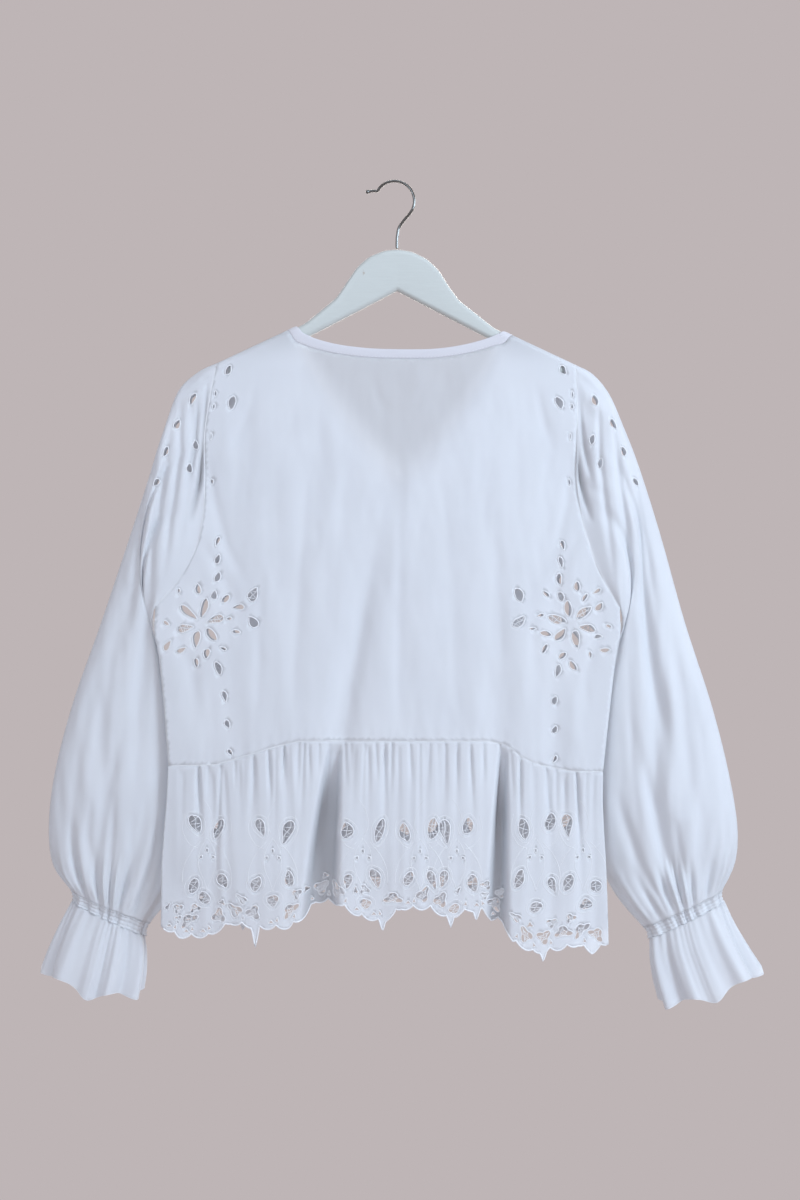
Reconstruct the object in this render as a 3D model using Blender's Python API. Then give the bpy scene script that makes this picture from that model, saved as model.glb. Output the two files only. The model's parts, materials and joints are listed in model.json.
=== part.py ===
"""Peplum blouse on a wooden hanger, seen from its back at -Y, with the wearer's left at -X.

Lengths are in millimetres until the meshes are made. The origin is the inside top of the hook,
where it rests on a rail. Every cloth piece is a thin wall: a sheet is cut in cloth coordinates
with its eyelets, laid on a smooth surface and thickened along that surface's normals.
"""

import math

import bpy
import numpy as np
from mathutils import Vector
from mathutils.geometry import delaunay_2d_cdt

MM = 0.001
WALL = 1.3
SEAM_GAP = 0.3
SLEEVE_SEAM_GAP = 0.4
BINDING_GAP = 0.5
BACK, FRONT = -1, 1

# Wooden hanger
HANGER_HALF = 6.0
HANGER_ARM_FALL = 0.52
HANGER_CENTRE_UNDERSIDE = -120.2
HANGER_UNDER_CLOTH = 1.7
HANGER_CREST = (  # x, z of the visible crest
    (-112.0, -161.7),
    (-100.0, -155.6),
    (-85.5, -143.9),
    (-65.3, -126.9),
    (-55.2, -111.8),
    (-43.5, -94.2),
    (-29.9, -82.3),
    (-13.2, -75.6),
    (1.0, -74.2),
    (17.2, -76.5),
    (34.1, -84.8),
    (47.5, -97.5),
    (57.6, -114.3),
    (69.4, -130.4),
    (89.7, -146.3),
    (108.0, -160.9),
    (121.0, -167.4),
)
HANGER_ENDS = (-184.0, 185.0)
HANGER_ARM_STATIONS = (0.0, 0.04, 0.16, 1.0)
HANGER_RING = 14
HANGER_END_KEEP = 0.45
HANGER_END_ROUND = 8.0
HANGER_HIDDEN_X = 100.0

# Wire hook, from the wood to the tip
HOOK_WIRE = 3.2
HOOK_X = 1.0
HOOK_CENTRE = (-1.6, -20.6)
HOOK_RADIUS = 21.8
HOOK_STEM = ((1.0, -73.6), (1.4, -60.0), (3.4, -50.0), (9.0, -41.8))
HOOK_ARC = (-38.0, 150.0)
HOOK_TIP = ((-24.6, -9.6), (-31.1, -10.6))
HOOK_STEPS = 16
HOOK_TIP_SWELL = 1.5

# Shoulder line that the cloth rolls over
SHOULDER = (  # x, z
    (-262.0, -234.8),
    (-195.8, -199.1),
    (-111.1, -159.5),
    (0.0, -108.0),
    (119.9, -165.0),
    (196.9, -201.3),
    (262.0, -236.0),
)
ROLL = HANGER_HALF + SEAM_GAP + WALL / 2
ROLL_LENGTH = ROLL * math.pi / 2
ROLL_EXTRA = ROLL_LENGTH - ROLL
ROLL_SHARES = (0.25, 0.5, 0.75, 1.0)
ROLL_SPREAD = 5.0
SHOULDER_STOPS = (-190.0, -175.0, -150.0, 150.0, 175.0, 191.0)
NECK_SIDE_STOPS = (-127.0, 135.0)
SMALL_STEP = 0.05
LEAST_SPACING = 1.7

# Sides of the body, down the armhole side, the side seam and the peplum
SIDES = (  # z, left x, right x
    (-190.0, -250.0, 236.0),
    (-420.0, -261.0, 243.0),
    (-468.0, -262.9, 244.6),
    (-515.0, -259.6, 240.5),
    (-570.0, -254.1, 234.5),
    (-645.0, -248.5, 226.0),
    (-690.0, -251.5, 225.5),
    (-740.0, -256.0, 229.0),
    (-870.0, -257.0, 234.0),
)
CENTRE_X = -9.0
SIDE_ROUNDNESS = 3.5
SIDE_SHIFT = 16.0
SIDE_SHIFT_Z = (-300.0, -450.0)
SIDE_EDGE = 0.9
SIDE_CLOSING_DROP = (60.0, 220.0)
FULLNESS = (  # z, depth added to the roll's
    (-195.0, 0.0),
    (-240.0, 1.5),
    (-330.0, 7.0),
    (-470.0, 11.0),
    (-614.0, 14.0),
    (-700.0, 19.0),
    (-860.0, 24.0),
)

# Neck edge and the lower edge of its binding; first and last points lie on the shoulder seam
BACK_NECK = (  # edge x, edge z, seam x, seam z
    (-111.1, None, -121.0, None),
    (-104.0, -165.0, -111.0, -175.5),
    (-94.6, -170.5, -101.0, -180.3),
    (-72.6, -177.6, -76.0, -187.5),
    (-39.6, -182.8, -41.0, -193.0),
    (4.4, -184.8, 4.4, -195.0),
    (48.4, -183.7, 49.5, -193.8),
    (81.4, -178.2, 84.0, -188.0),
    (103.4, -171.6, 108.5, -181.0),
    (112.5, -168.2, 119.5, -177.5),
    (119.9, None, 129.5, None),
)
FRONT_NECK = (
    (-111.1, None, -121.0, None),
    (-107.0, -172.0, -116.5, -176.0),
    (-92.0, -204.0, -101.0, -208.5),
    (-60.0, -252.0, -68.5, -257.5),
    (-24.0, -295.0, -31.5, -301.5),
    (9.0, -329.0, 9.0, -343.0),
    (42.0, -297.0, 49.5, -303.5),
    (74.0, -254.0, 82.5, -259.5),
    (101.0, -206.0, 110.0, -210.5),
    (115.5, -175.0, 125.0, -179.0),
    (119.9, None, 129.5, None),
)

# Armhole, by the share of the way from the shoulder tip to the underarm
ARMHOLE = (  # share, left x, left z, right x, right z
    (0.0, -195.8, -199.1 + ROLL_EXTRA, 196.9, -201.3 + ROLL_EXTRA),
    (0.15, -204.6, -239.8, 199.0, -240.0),
    (0.32, -210.1, -283.8, 198.0, -284.0),
    (0.48, -209.5, -327.8, 197.5, -328.0),
    (0.63, -211.5, -368.0, 202.0, -362.0),
    (0.76, -218.5, -402.0, 209.5, -394.0),
    (0.88, -236.0, -436.0, 222.5, -430.0),
    (1.0, -262.7, -467.5, 244.3, -468.6),
)

# Waist seam
WAIST = (  # x, z
    (-260.0, -641.3),
    (-197.5, -639.8),
    (-154.0, -627.0),
    (-130.0, -619.3),
    (-105.6, -613.8),
    (100.0, -613.8),
    (120.0, -618.0),
    (138.0, -631.5),
    (158.1, -640.2),
    (190.9, -646.5),
    (240.0, -648.0),
)

BODICE_SIDE_STOPS = (-500.0, -535.0, -570.0, -610.0)
WAIST_STOPS_RIGHT = (226.0, 208.0, 190.9, 174.0, 158.1, 147.0, 138.0, 128.0, 120.0, 109.0)
WAIST_STOPS_LEFT = (-118.0, -130.0, -142.0, -154.0, -175.0, -197.5, -222.0, -248.5)
BODICE_ROWS = (-232.0, -625.0, -42.0)
BODICE_COLUMNS = (-252.0, 245.0, 36.0)
UNDER_ROLL_DROP = 24.0

# Soft troughs in the bodice
BODICE_FOLDS = (  # side, top x, top z, foot x, foot z, width, depth
    (BACK, -20.0, -372.0, -64.0, -640.0, 17.0, 6.0),
    (BACK, 96.0, -500.0, 116.0, -650.0, 13.0, 4.0),
    (BACK, -196.0, -500.0, -204.0, -650.0, 12.0, 2.5),
    (BACK, 170.0, -520.0, 176.0, -650.0, 14.0, 2.5),
    (BACK, -150.0, -215.0, -176.0, -330.0, 16.0, 2.0),
    (BACK, 150.0, -218.0, 172.0, -330.0, 16.0, 2.0),
    (FRONT, -70.0, -330.0, -96.0, -640.0, 18.0, 5.0),
    (FRONT, 86.0, -340.0, 104.0, -650.0, 16.0, 5.0),
    (FRONT, 4.0, -420.0, 10.0, -640.0, 14.0, 3.0),
)

# Gathers of the peplum
PEPLUM_BACK_FOLDS = (  # seam x, hem x, seam flat, hem flat, width, seam depth, hem depth
    (-232.0, -236.0, 0.0, 0.0, 3.6, 2.0, 1.5),
    (-215.6, -217.0, 0.0, 0.0, 3.6, 3.5, 2.0),
    (-202.0, -196.0, 0.0, 2.0, 3.6, 4.0, 3.5),
    (-189.0, -180.0, 0.0, 1.0, 3.6, 3.5, 4.0),
    (-172.0, -166.0, 0.0, 0.0, 3.4, 2.5, 0.5),
    (-155.1, -150.0, 0.0, 0.0, 3.6, 3.5, 1.5),
    (-138.6, -134.0, 0.0, 0.0, 3.4, 3.0, 1.0),
    (-122.1, -116.0, 0.0, 0.0, 3.6, 4.5, 3.0),
    (-109.0, -105.0, 0.0, 0.0, 3.2, 3.0, 0.5),
    (-95.0, -94.5, 0.0, 0.0, 3.2, 3.0, 0.0),
    (-64.0, -83.5, 4.0, 12.0, 3.2, 5.0, 20.0),
    (-44.0, -50.0, 0.0, 0.0, 3.6, 3.0, 0.5),
    (-30.0, -30.0, 0.0, 0.0, 3.4, 4.0, 1.0),
    (-12.1, -12.0, 0.0, 0.0, 3.6, 4.5, 1.0),
    (3.0, 2.0, 0.0, 0.0, 3.4, 3.0, 1.5),
    (17.0, 16.0, 0.0, 1.0, 3.6, 4.5, 3.5),
    (33.0, 32.0, 0.0, 0.0, 3.6, 4.0, 1.5),
    (50.0, 50.0, 0.0, 0.0, 3.4, 3.0, 0.5),
    (66.0, 66.0, 0.0, 0.0, 3.6, 4.0, 2.0),
    (81.4, 82.0, 0.0, 0.0, 3.4, 3.5, 1.5),
    (95.0, 95.0, 0.0, 0.0, 3.2, 2.5, 0.5),
    (119.0, 110.0, 2.0, 4.5, 3.0, 6.0, 18.0),
    (138.0, 130.0, 0.0, 0.0, 3.4, 2.5, 0.5),
    (152.0, 149.0, 0.0, 0.0, 3.6, 3.0, 1.0),
    (168.0, 168.0, 0.0, 0.0, 3.6, 4.5, 2.0),
    (183.0, 186.0, 0.0, 0.0, 3.4, 3.0, 1.0),
    (198.0, 203.0, 0.0, 0.0, 3.6, 4.0, 3.0),
    (213.0, 219.0, 0.0, 0.0, 3.4, 2.5, 1.5),
)
FRONT_FOLD_COUNT = 22
FRONT_FOLD_ENDS = (-234.0, 214.0)
FRONT_HEM_SPREAD = 1.035
PEPLUM_HEIGHT = 190.0
PEPLUM_ROWS = (0.06, 0.2, 0.48, 0.8)
PEPLUM_SIDE_STOPS = (-680.0, -715.0, -750.0, -785.0)
HEM_SIDE_Z = -820.0
FOLD_RISE = 0.09
FOLD_FREE_SIDE = 14.0
DEEP_FOLD_FLAT = 3.0

# Hem line above its scallops
BACK_HEM = (  # x, z
    (-257.0, -812.0),
    (-237.0, -824.0),
    (-205.0, -823.0),
    (-180.0, -808.0),
    (-150.0, -813.0),
    (-116.0, -812.0),
    (-99.0, -800.0),
    (-88.0, -787.0),
    (-62.0, -787.0),
    (-40.0, -800.0),
    (-14.0, -806.0),
    (6.0, -791.0),
    (37.0, -791.0),
    (55.0, -801.0),
    (80.0, -793.0),
    (95.0, -794.0),
    (104.0, -806.0),
    (117.0, -808.0),
    (127.0, -828.0),
    (150.0, -840.0),
    (178.0, -836.0),
    (198.0, -832.0),
    (214.0, -841.0),
    (236.0, -828.0),
)
FRONT_HEM = (
    (-258.0, -810.0),
    (-200.0, -818.0),
    (-140.0, -808.0),
    (-104.0, -791.0),
    (-70.0, -787.0),
    (-10.0, -790.0),
    (60.0, -788.0),
    (98.0, -790.0),
    (126.0, -810.0),
    (180.0, -824.0),
    (236.0, -812.0),
)
SCALLOP_PITCH = 18.6
SCALLOP_DROP = 5.5
HEM_POINTS = {  # x and extra drop of the petal tips that hang below the scallops
    BACK: ((-153.0, 26.0), (-14.5, 14.0), (59.5, 16.0), (87.0, 15.0), (160.0, 15.0)),
    FRONT: ((-170.0, 15.0), (-40.0, 12.0), (52.0, 12.0), (204.0, 13.0)),
}
HEM_POINT_HALF_WIDTH = 5.0

# Sleeves, ring by ring from the armhole to the shirring
LEFT_SLEEVE = (
    # outer x, outer z, inner x, inner z, outer y, inner y, half depth, bow
    (-195.8, -199.1, -262.7, -467.5, 0.0, -16.0, 8.0, 24.0),
    (-217.0, -209.0, -264.8, -470.5, 0.0, -14.8, 11.0, 12.0),
    (-239.0, -230.0, -266.0, -476.5, 0.0, -12.8, 13.0, -5.0),
    (-254.0, -270.0, -266.6, -488.0, 1.0, -9.0, 15.0, -12.0),
    (-270.6, -322.0, -263.0, -511.0, 2.0, -1.0, 17.0, -13.0),
    (-295.9, -399.0, -243.0, -548.0, 3.0, 8.0, 20.0, -7.0),
    (-325.6, -487.0, -230.0, -591.0, 4.0, 12.5, 22.0, 0.0),
    (-356.4, -575.0, -226.6, -641.0, 4.0, 14.0, 24.0, 0.0),
    (-376.2, -652.0, -227.5, -692.0, 4.0, 14.0, 25.0, 0.0),
    (-382.8, -713.0, -234.0, -738.0, 5.0, 14.0, 24.0, 0.0),
    (-377.0, -751.0, -250.0, -781.0, 6.0, 13.0, 20.0, 0.0),
    (-357.0, -782.0, -273.9, -817.3, 7.0, 12.0, 14.0, 0.0),
)
RIGHT_SLEEVE = (
    (196.9, -201.3, 244.4, -468.6, 0.0, -16.0, 8.0, -22.0),
    (216.0, -211.5, 246.3, -471.6, 0.0, -14.8, 11.0, -12.0),
    (234.0, -233.0, 247.6, -477.2, 0.0, -12.5, 13.0, 1.0),
    (250.5, -270.0, 248.2, -488.0, 1.0, -8.5, 15.0, 6.0),
    (267.5, -314.0, 243.6, -511.0, 2.0, -1.0, 17.0, 8.0),
    (291.0, -388.0, 224.0, -550.0, 3.0, 8.0, 20.0, 5.0),
    (318.0, -484.0, 213.0, -594.0, 4.0, 12.5, 22.0, 0.0),
    (348.0, -577.0, 211.0, -643.0, 4.0, 14.0, 24.0, 0.0),
    (367.5, -655.0, 214.0, -695.0, 4.0, 14.0, 25.0, 0.0),
    (376.5, -713.0, 224.0, -742.0, 5.0, 14.0, 24.0, 0.0),
    (373.0, -747.0, 241.0, -779.0, 6.0, 13.0, 20.0, 0.0),
    (358.6, -782.1, 275.5, -822.0, 7.0, 12.0, 14.0, 0.0),
)
SLEEVE_COLUMNS = 12
SLEEVE_STRETCH = (60.0, 40.0)
SLEEVE_ROWS = (0.35, 0.8, 1.5, 2.4, 3.5, 4.7, 6.1, 7.5, 8.8, 9.6)
SLEEVE_GATHERS = 7
CUFF_ROWS = (10.0, 10.5)
SHOULDER_ANGLES = (0.10, 0.17)
EVEN_SPREAD = 0.28
CAP_GATHER = 1.6
CAP_ROW = 1.0
CUFF_GATHER = 2.4
ARMHOLE_PULL_ROWS = 1.6
SLEEVE_FOLDS = {  # top share, top row, foot share, foot row, width in share, depth
    "left": (
        (0.52, 0.5, 0.80, 6.5, 0.050, 5.0),
        (0.30, 0.6, 0.52, 5.0, 0.040, 3.5),
        (0.45, 6.5, 0.35, 10.6, 0.050, 3.5),
        (0.72, 7.5, 0.62, 10.8, 0.045, 4.0),
        (0.16, 8.0, 0.24, 10.8, 0.035, 3.0),
    ),
    "right": (
        (0.55, 0.5, 0.78, 6.0, 0.050, 4.0),
        (0.32, 1.5, 0.40, 8.5, 0.060, 5.0),
        (0.62, 6.5, 0.50, 10.7, 0.045, 4.5),
        (0.80, 7.5, 0.70, 10.8, 0.040, 4.0),
        (0.24, 7.5, 0.28, 10.8, 0.040, 3.0),
    ),
}

# Cuffs: shirring, then ruffle
CUFF_RINGS = {  # outer x, outer z, inner x, inner z, outer y, inner y, half depth, bow
    "left": (
        (-357.0, -782.0, -273.9, -817.3, 7.0, 12.0, 14.0, 0.0),
        (-356.5, -793.5, -278.0, -831.0, 7.0, 12.0, 13.0, 0.0),
        (-369.0, -820.0, -276.0, -848.0, 6.0, 12.0, 16.0, -3.0),
        (-380.0, -848.0, -277.0, -872.0, 5.0, 12.0, 19.0, -8.0),
        (-386.0, -868.0, -281.0, -893.0, 5.0, 12.0, 21.0, -13.0),
    ),
    "right": (
        (358.6, -782.1, 275.5, -822.0, 7.0, 12.0, 14.0, 0.0),
        (361.0, -793.5, 280.5, -834.0, 7.0, 12.0, 13.0, 0.0),
        (371.0, -818.0, 281.0, -856.0, 6.0, 12.0, 16.0, 3.0),
        (385.0, -845.0, 285.5, -880.0, 5.0, 12.0, 19.0, 7.0),
        (399.0, -870.0, 293.0, -905.0, 5.0, 12.0, 21.0, 9.0),
    ),
}
SHIRRING_WAVES = 14
RUFFLE_WAVES = 9
SHIRRING_LIFT = 1.5
SHIRRING_PINCH = 1.6
SHIRRING_STOPS = (0.0, 0.5, 1.0)
RUFFLE_TOP_LIFT = 1.2
RUFFLE_LIFT = 6.0
RUFFLE_HEM_WAVE = 5.0
RUFFLE_UNEVEN = 0.9
RUFFLE_STOPS = (1.0, 1.6, 2.6, 4.0)

# Cutwork; an eyelet's size is its length and width, and its tilt is in degrees from upright
EYELET_SIDES = 6
EYELET_ROUNDING = 1.15
SIDE_FLOWER = {  # flower x, flower z, stem top x, stem top z, stem foot x, stem foot z, lean
    "left": (-214.0, -486.0, -190.0, -396.0, -176.0, -626.0, 1),
    "right": (192.0, -486.0, 177.0, -400.0, 168.0, -634.0, -1),
}
PETALS = 6
PETAL_REACH = 17.5
PETAL_SIZE = (19.0, 8.5)
PETAL_TURN = 14.0
STEM_LEAF_SIZE = (13.0, 7.0)
STEM_LEAF_TILTS = (18.0, -20.0)
STEM_SWAY = 7.0
STEM_LEAVES = {BACK: 4, FRONT: 3}
LEAF_X = 58.0
LEAF_SIZE = (16.0, 8.5)
LEAVES = ((32.0, 20.0), (2.0, -34.0))  # z above the flower, tilt
SHOULDER_EYELETS = {  # x, z, length, width, tilt
    "left": ((-184.0, -208.0, 12.0, 7.0, 40.0), (-180.0, -244.0, 12.0, 9.0, 12.0)),
    "right": ((183.0, -208.0, 12.0, 7.0, -40.0), (179.0, -244.0, 12.0, 9.0, -12.0)),
}
SLEEVE_SPRAY = {  # x, z, length, width, tilt; the last two only on the back
    "left": (
        (-222.0, -240.0, 13.0, 7.0, 24.0),
        (-240.0, -268.0, 12.0, 6.4, 24.0),
        (-252.0, -298.0, 10.9, 5.9, 24.0),
        (-262.0, -332.0, 9.9, 5.3, 24.0),
        (-220.0, -290.0, 11.0, 6.0, -16.0),
        (-226.0, -316.0, 11.0, 6.0, -16.0),
    ),
    "right": (
        (219.0, -240.0, 13.0, 7.0, -24.0),
        (237.0, -268.0, 12.0, 6.4, -24.0),
        (248.0, -298.0, 10.9, 5.9, -24.0),
        (262.0, -330.0, 9.9, 5.3, -24.0),
        (213.0, -286.0, 11.0, 6.0, 16.0),
        (222.0, -312.0, 11.0, 6.0, 16.0),
    ),
}
SPRAY_ON_BOTH = 4
PEPLUM_FLOWERS = {  # x of each flower
    BACK: (-206.0, -134.0, -36.0, 26.0, 66.0, 152.0, 204.0),
    FRONT: (-190.0, -118.0, -46.0, 26.0, 98.0, 170.0),
}
PEPLUM_FLOWER_Z = -745.0
PEPLUM_EYELETS = (  # x and z from the flower, length, width, tilt, on the front too
    (-15.0, 38.0, 24.0, 13.0, -14.0, True),
    (15.0, 38.0, 24.0, 13.0, 14.0, True),
    (-15.5, -22.0, 20.0, 12.0, 24.0, False),
    (15.5, -22.0, 20.0, 12.0, -24.0, False),
    (0.0, -45.0, 13.0, 15.0, 0.0, True),
)


def ramp(start, end, value):
    share = np.clip((value - start) / (end - start), 0.0, 1.0)
    return share * share * (3 - 2 * share)


def along(rows, place):
    """Straight lines through rows of (place, value)."""
    table = np.asarray(rows, float)
    return np.interp(place, table[:, 0], table[:, 1])


def through(rows, place):
    """A smooth curve through rows of (place, values...), read at each place."""
    table = np.asarray(rows, float)
    stops, values = table[:, 0], table[:, 1:]
    slopes = np.gradient(values, stops, axis=0)
    place = np.clip(np.asarray(place, float), stops[0], stops[-1])
    left = np.clip(np.searchsorted(stops, place, side="right") - 1, 0, len(stops) - 2)
    span = (stops[left + 1] - stops[left])[..., None]
    t = (place - stops[left])[..., None] / span
    rest = 1 - t
    start = values[left] * (1 + 2 * t) * rest**2 + slopes[left] * span * t * rest**2
    end = values[left + 1] * (3 - 2 * t) * t**2 - slopes[left + 1] * span * t**2 * rest
    return start + end


def unit(vectors):
    return vectors / np.linalg.norm(vectors, axis=-1, keepdims=True)


def normals_of(point, u, v, step_u, step_v):
    """Unit normals of a surface, point(u, v), from small steps along it."""
    across = point(u + step_u, v) - point(u - step_u, v)
    down = point(u, v + step_v) - point(u, v - step_v)
    return unit(np.cross(across, down))


def inside(loop, points):
    """Which points lie inside a closed loop."""
    x, y = points[:, 0], points[:, 1]
    found = np.zeros(len(points), bool)
    for (x0, y0), (x1, y1) in zip(loop, np.roll(loop, -1, axis=0)):
        crosses = (y0 > y) != (y1 > y)
        with np.errstate(divide="ignore", invalid="ignore"):
            at = x0 + (y - y0) * (x1 - x0) / (y1 - y0)
        found ^= crosses & (x < at)
    return found


def distance_to(loop, points):
    nearest = np.full(len(points), np.inf)
    for start, end in zip(loop, np.roll(loop, -1, axis=0)):
        line = end - start
        share = np.clip((points - start) @ line / (line @ line), 0.0, 1.0)
        gap = np.linalg.norm(points - start - share[:, None] * line, axis=1)
        nearest = np.minimum(nearest, gap)
    return nearest


def cut_sheet(outline, holes, inner, stretch, clearance):
    """Triangles of a sheet with holes, as cloth coordinates and corner triples.

    stretch scales the coordinates to even triangles, and inner points closer than clearance
    to an edge are left out.
    """
    scale = np.asarray(stretch, float)
    loops = [np.asarray(loop, float) * scale for loop in (outline, *holes)]
    spare = np.asarray(inner, float).reshape(-1, 2) * scale
    if len(spare):
        spare = spare[inside(loops[0], spare)]
        spare = spare[distance_to(loops[0], spare) > clearance]
    for hole in loops[1:]:
        spare = spare[~inside(hole, spare)]
        spare = spare[distance_to(hole, spare) > clearance]
    corners, edges = [], []
    for loop in loops:
        first = len(corners)
        corners.extend(loop)
        edges.extend((first + i, first + (i + 1) % len(loop)) for i in range(len(loop)))
    corners.extend(spare)
    cut = delaunay_2d_cdt([Vector(corner) for corner in corners], edges, [], 0, 1e-5)
    places = np.array([tuple(corner) for corner in cut[0]])
    triples = np.array(cut[2])
    centres = places[triples].mean(axis=1)
    kept = inside(loops[0], centres)
    for hole in loops[1:]:
        kept &= ~inside(hole, centres)
    triples = triples[kept]
    used = np.unique(triples)
    order = np.zeros(len(places), int)
    order[used] = np.arange(len(used))
    return places[used] / scale, order[triples]


def rim_of(triples):
    """Directed edges that only one triangle has."""
    edges = np.concatenate([triples[:, [0, 1]], triples[:, [1, 2]], triples[:, [2, 0]]])
    known = {tuple(edge) for edge in edges}
    return [edge for edge in known if (edge[1], edge[0]) not in known]


def add_piece(name, corners, faces, material):
    mesh = bpy.data.meshes.new(name)
    mesh.from_pydata((np.asarray(corners) * MM).tolist(), [], [tuple(f) for f in faces])
    mesh.validate()
    mesh.materials.append(material)
    piece = bpy.data.objects.new(name, mesh)
    bpy.context.scene.collection.objects.link(piece)
    return piece


def add_wall(name, middle, normals, triples, material, thickness=WALL):
    """A closed wall: the sheet moved out, the sheet moved in and the rims between."""
    count = len(middle)
    half = normals * thickness / 2
    corners = np.concatenate([middle + half, middle - half])
    faces = [tuple(triple) for triple in triples]
    faces += [(a + count, c + count, b + count) for a, b, c in triples]
    for a, b in rim_of(triples):
        faces += [(b, a, a + count), (b, a + count, b + count)]
    return add_piece(name, corners, faces, material)


def facing_out(normals, triples, side):
    """Turns the sheet so that its normals point to the given side of the blouse."""
    if np.sign(normals[:, 1].mean()) != side:
        return -normals, triples[:, ::-1]
    return normals, triples


def eyelet(x, z, length, width, tilt):
    """Outline of a leaf-shaped eyelet."""
    turn = math.radians(tilt)
    points = []
    for i in range(EYELET_SIDES):
        angle = 2 * math.pi * i / EYELET_SIDES
        up = length / 2 * math.cos(angle)
        across = width / 2 * math.sin(angle) * EYELET_ROUNDING
        points.append(
            (
                x + across * math.cos(turn) + up * math.sin(turn),
                z - across * math.sin(turn) + up * math.cos(turn),
            )
        )
    return points


def side_flower(name, side):
    """Eyelets of a flower beside the side seam, with leaves up and down its stem."""
    x, z, top_x, top_z, foot_x, foot_z, lean = SIDE_FLOWER[name]
    holes = []
    for i in range(PETALS):
        angle = 360 * i / PETALS + PETAL_TURN * lean
        turn = math.radians(angle)
        place = (x + PETAL_REACH * math.sin(turn), z + PETAL_REACH * math.cos(turn))
        holes.append(eyelet(*place, *PETAL_SIZE, angle))
    length, width = STEM_LEAF_SIZE
    count = STEM_LEAVES[side]
    for i in range(1, count + 1):
        share = (i + 0.6) / (count + 0.6)
        size = 1.15 - 0.45 * share
        sway = STEM_SWAY * math.sin(4.0 * share) * lean
        for (end_x, end_z), tilt in zip(((top_x, top_z), (foot_x, foot_z)), STEM_LEAF_TILTS):
            place = (x + (end_x - x) * share + sway, z + (end_z - z) * share)
            holes.append(eyelet(*place, length * size, width * size, tilt * lean))
    if side == BACK:
        for rise, tilt in LEAVES:
            holes.append(eyelet(x + LEAF_X * lean, z + rise, *LEAF_SIZE, tilt * lean))
    return holes


def shoulder_top(x):
    return along(SHOULDER, x)


def body_edges(z):
    sides = np.asarray(SIDES)[::-1]
    left = np.interp(z, sides[:, 0], sides[:, 1])
    right = np.interp(z, sides[:, 0], sides[:, 2])
    return left, right


def fold_depth(x, z, side):
    """How far the bodice's soft troughs sink towards its inside."""
    sunk = np.zeros_like(x)
    for fold_side, top_x, top_z, foot_x, foot_z, width, depth in BODICE_FOLDS:
        if fold_side != side:
            continue
        share = (z - top_z) / (foot_z - top_z)
        line = top_x + (foot_x - top_x) * np.clip(share, 0.0, 1.2)
        fade = ramp(0.0, 0.5, share)
        fade = fade * (1 - 0.5 * ramp(-650.0, -720.0, z))
        sunk = sunk + depth * fade * np.exp(-(((x - line) / width) ** 2))
    return sunk


def body_point(x, drop, side):
    """The body at x, drop millimetres down the cloth from the shoulder seam."""
    top = shoulder_top(x)
    turn = np.clip(drop / ROLL, 0.0, math.pi / 2)
    flat = top + ROLL_EXTRA - drop
    z = np.where(drop < ROLL_LENGTH, top - ROLL * (1 - np.cos(turn)), flat)
    left, right = body_edges(z)
    reach = np.where(x < CENTRE_X, CENTRE_X - left, right - CENTRE_X)
    share = np.clip(np.abs(x - CENTRE_X) / reach, 0.0, 1.0)
    roundness = 1 - share**SIDE_ROUNDNESS
    seam = SEAM_GAP / 2
    rolled = seam + (ROLL - seam) * np.sin(turn)
    closing = ramp(*SIDE_CLOSING_DROP, drop)
    low = SIDE_EDGE + (ROLL - SIDE_EDGE) * roundness
    fullness = through(FULLNESS[::-1], z)[..., 0] * roundness
    half = rolled * (1 - closing) + low * closing + fullness
    half = half - fold_depth(x, z, side) * roundness * ramp(20.0, 60.0, drop)
    middle = -SIDE_SHIFT * share**4 * ramp(*SIDE_SHIFT_Z, z)
    return np.stack([x, middle + side * half, z], axis=-1)


def drop_of(x, z):
    return shoulder_top(x) + ROLL_EXTRA - z


def body_normals(x, drop, side):
    normals = normals_of(lambda a, b: body_point(a, b, side), x, drop, SMALL_STEP, SMALL_STEP)
    turned = np.sign(normals[..., 1:2].mean()) != side
    return -normals if turned else normals


def armhole(name, share):
    """Cloth coordinates of the armhole edge: x and the drop from the shoulder seam."""
    column = 0 if name == "left" else 2
    place = through(ARMHOLE, share)[..., column : column + 2]
    x = place[..., 0]
    return x, drop_of(x, place[..., 1])


def ring_share(phi):
    theta = phi + EVEN_SPREAD * np.sin(2 * phi)
    return (1 - np.cos(theta)) / 2


def half_angles():
    """Angles of the sleeve's columns, with two more where the armhole rounds the shoulder."""
    even = np.linspace(0.0, math.pi, SLEEVE_COLUMNS + 1)
    return np.array([even[0], *SHOULDER_ANGLES, *even[1:]])


def neck_line(rows, columns):
    """x and drop along the neck edge or the binding's seam, with corners round the roll."""
    line = []
    for row in rows:
        x, z = row[columns], row[columns + 1]
        line.append((x, 0.0 if z is None else float(drop_of(x, z))))
    line = np.array(line)
    first, last = [], []
    for share in ROLL_SHARES:
        for start, after, found in ((line[0], line[1], first), (line[-1], line[-2], last)):
            reach = ROLL_LENGTH * share / after[1]
            found.append(start + (after - start) * reach)
    return np.array([line[0], *first, *line[1:-1], *last[::-1], line[-1]])


def shoulder_stretch(start, end):
    """Stops along a shoulder seam between two x."""
    low, high = sorted((start, end))
    stops = [(x, 0.0) for x in SHOULDER_STOPS if low < x < high]
    return stops if start < end else stops[::-1]


def spread(loop):
    """Cloth coordinates with the narrow roll at the shoulder widened for even triangles."""
    loop = np.array(loop, float).reshape(-1, 2)
    rolled = np.minimum(loop[:, 1], ROLL_LENGTH)
    loop[:, 1] += rolled * (ROLL_SPREAD - 1)
    return loop


def unspread(loop):
    loop = np.array(loop, float)
    rolled = np.minimum(loop[:, 1] / ROLL_SPREAD, ROLL_LENGTH)
    loop[:, 1] -= rolled * (ROLL_SPREAD - 1)
    return loop


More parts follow.
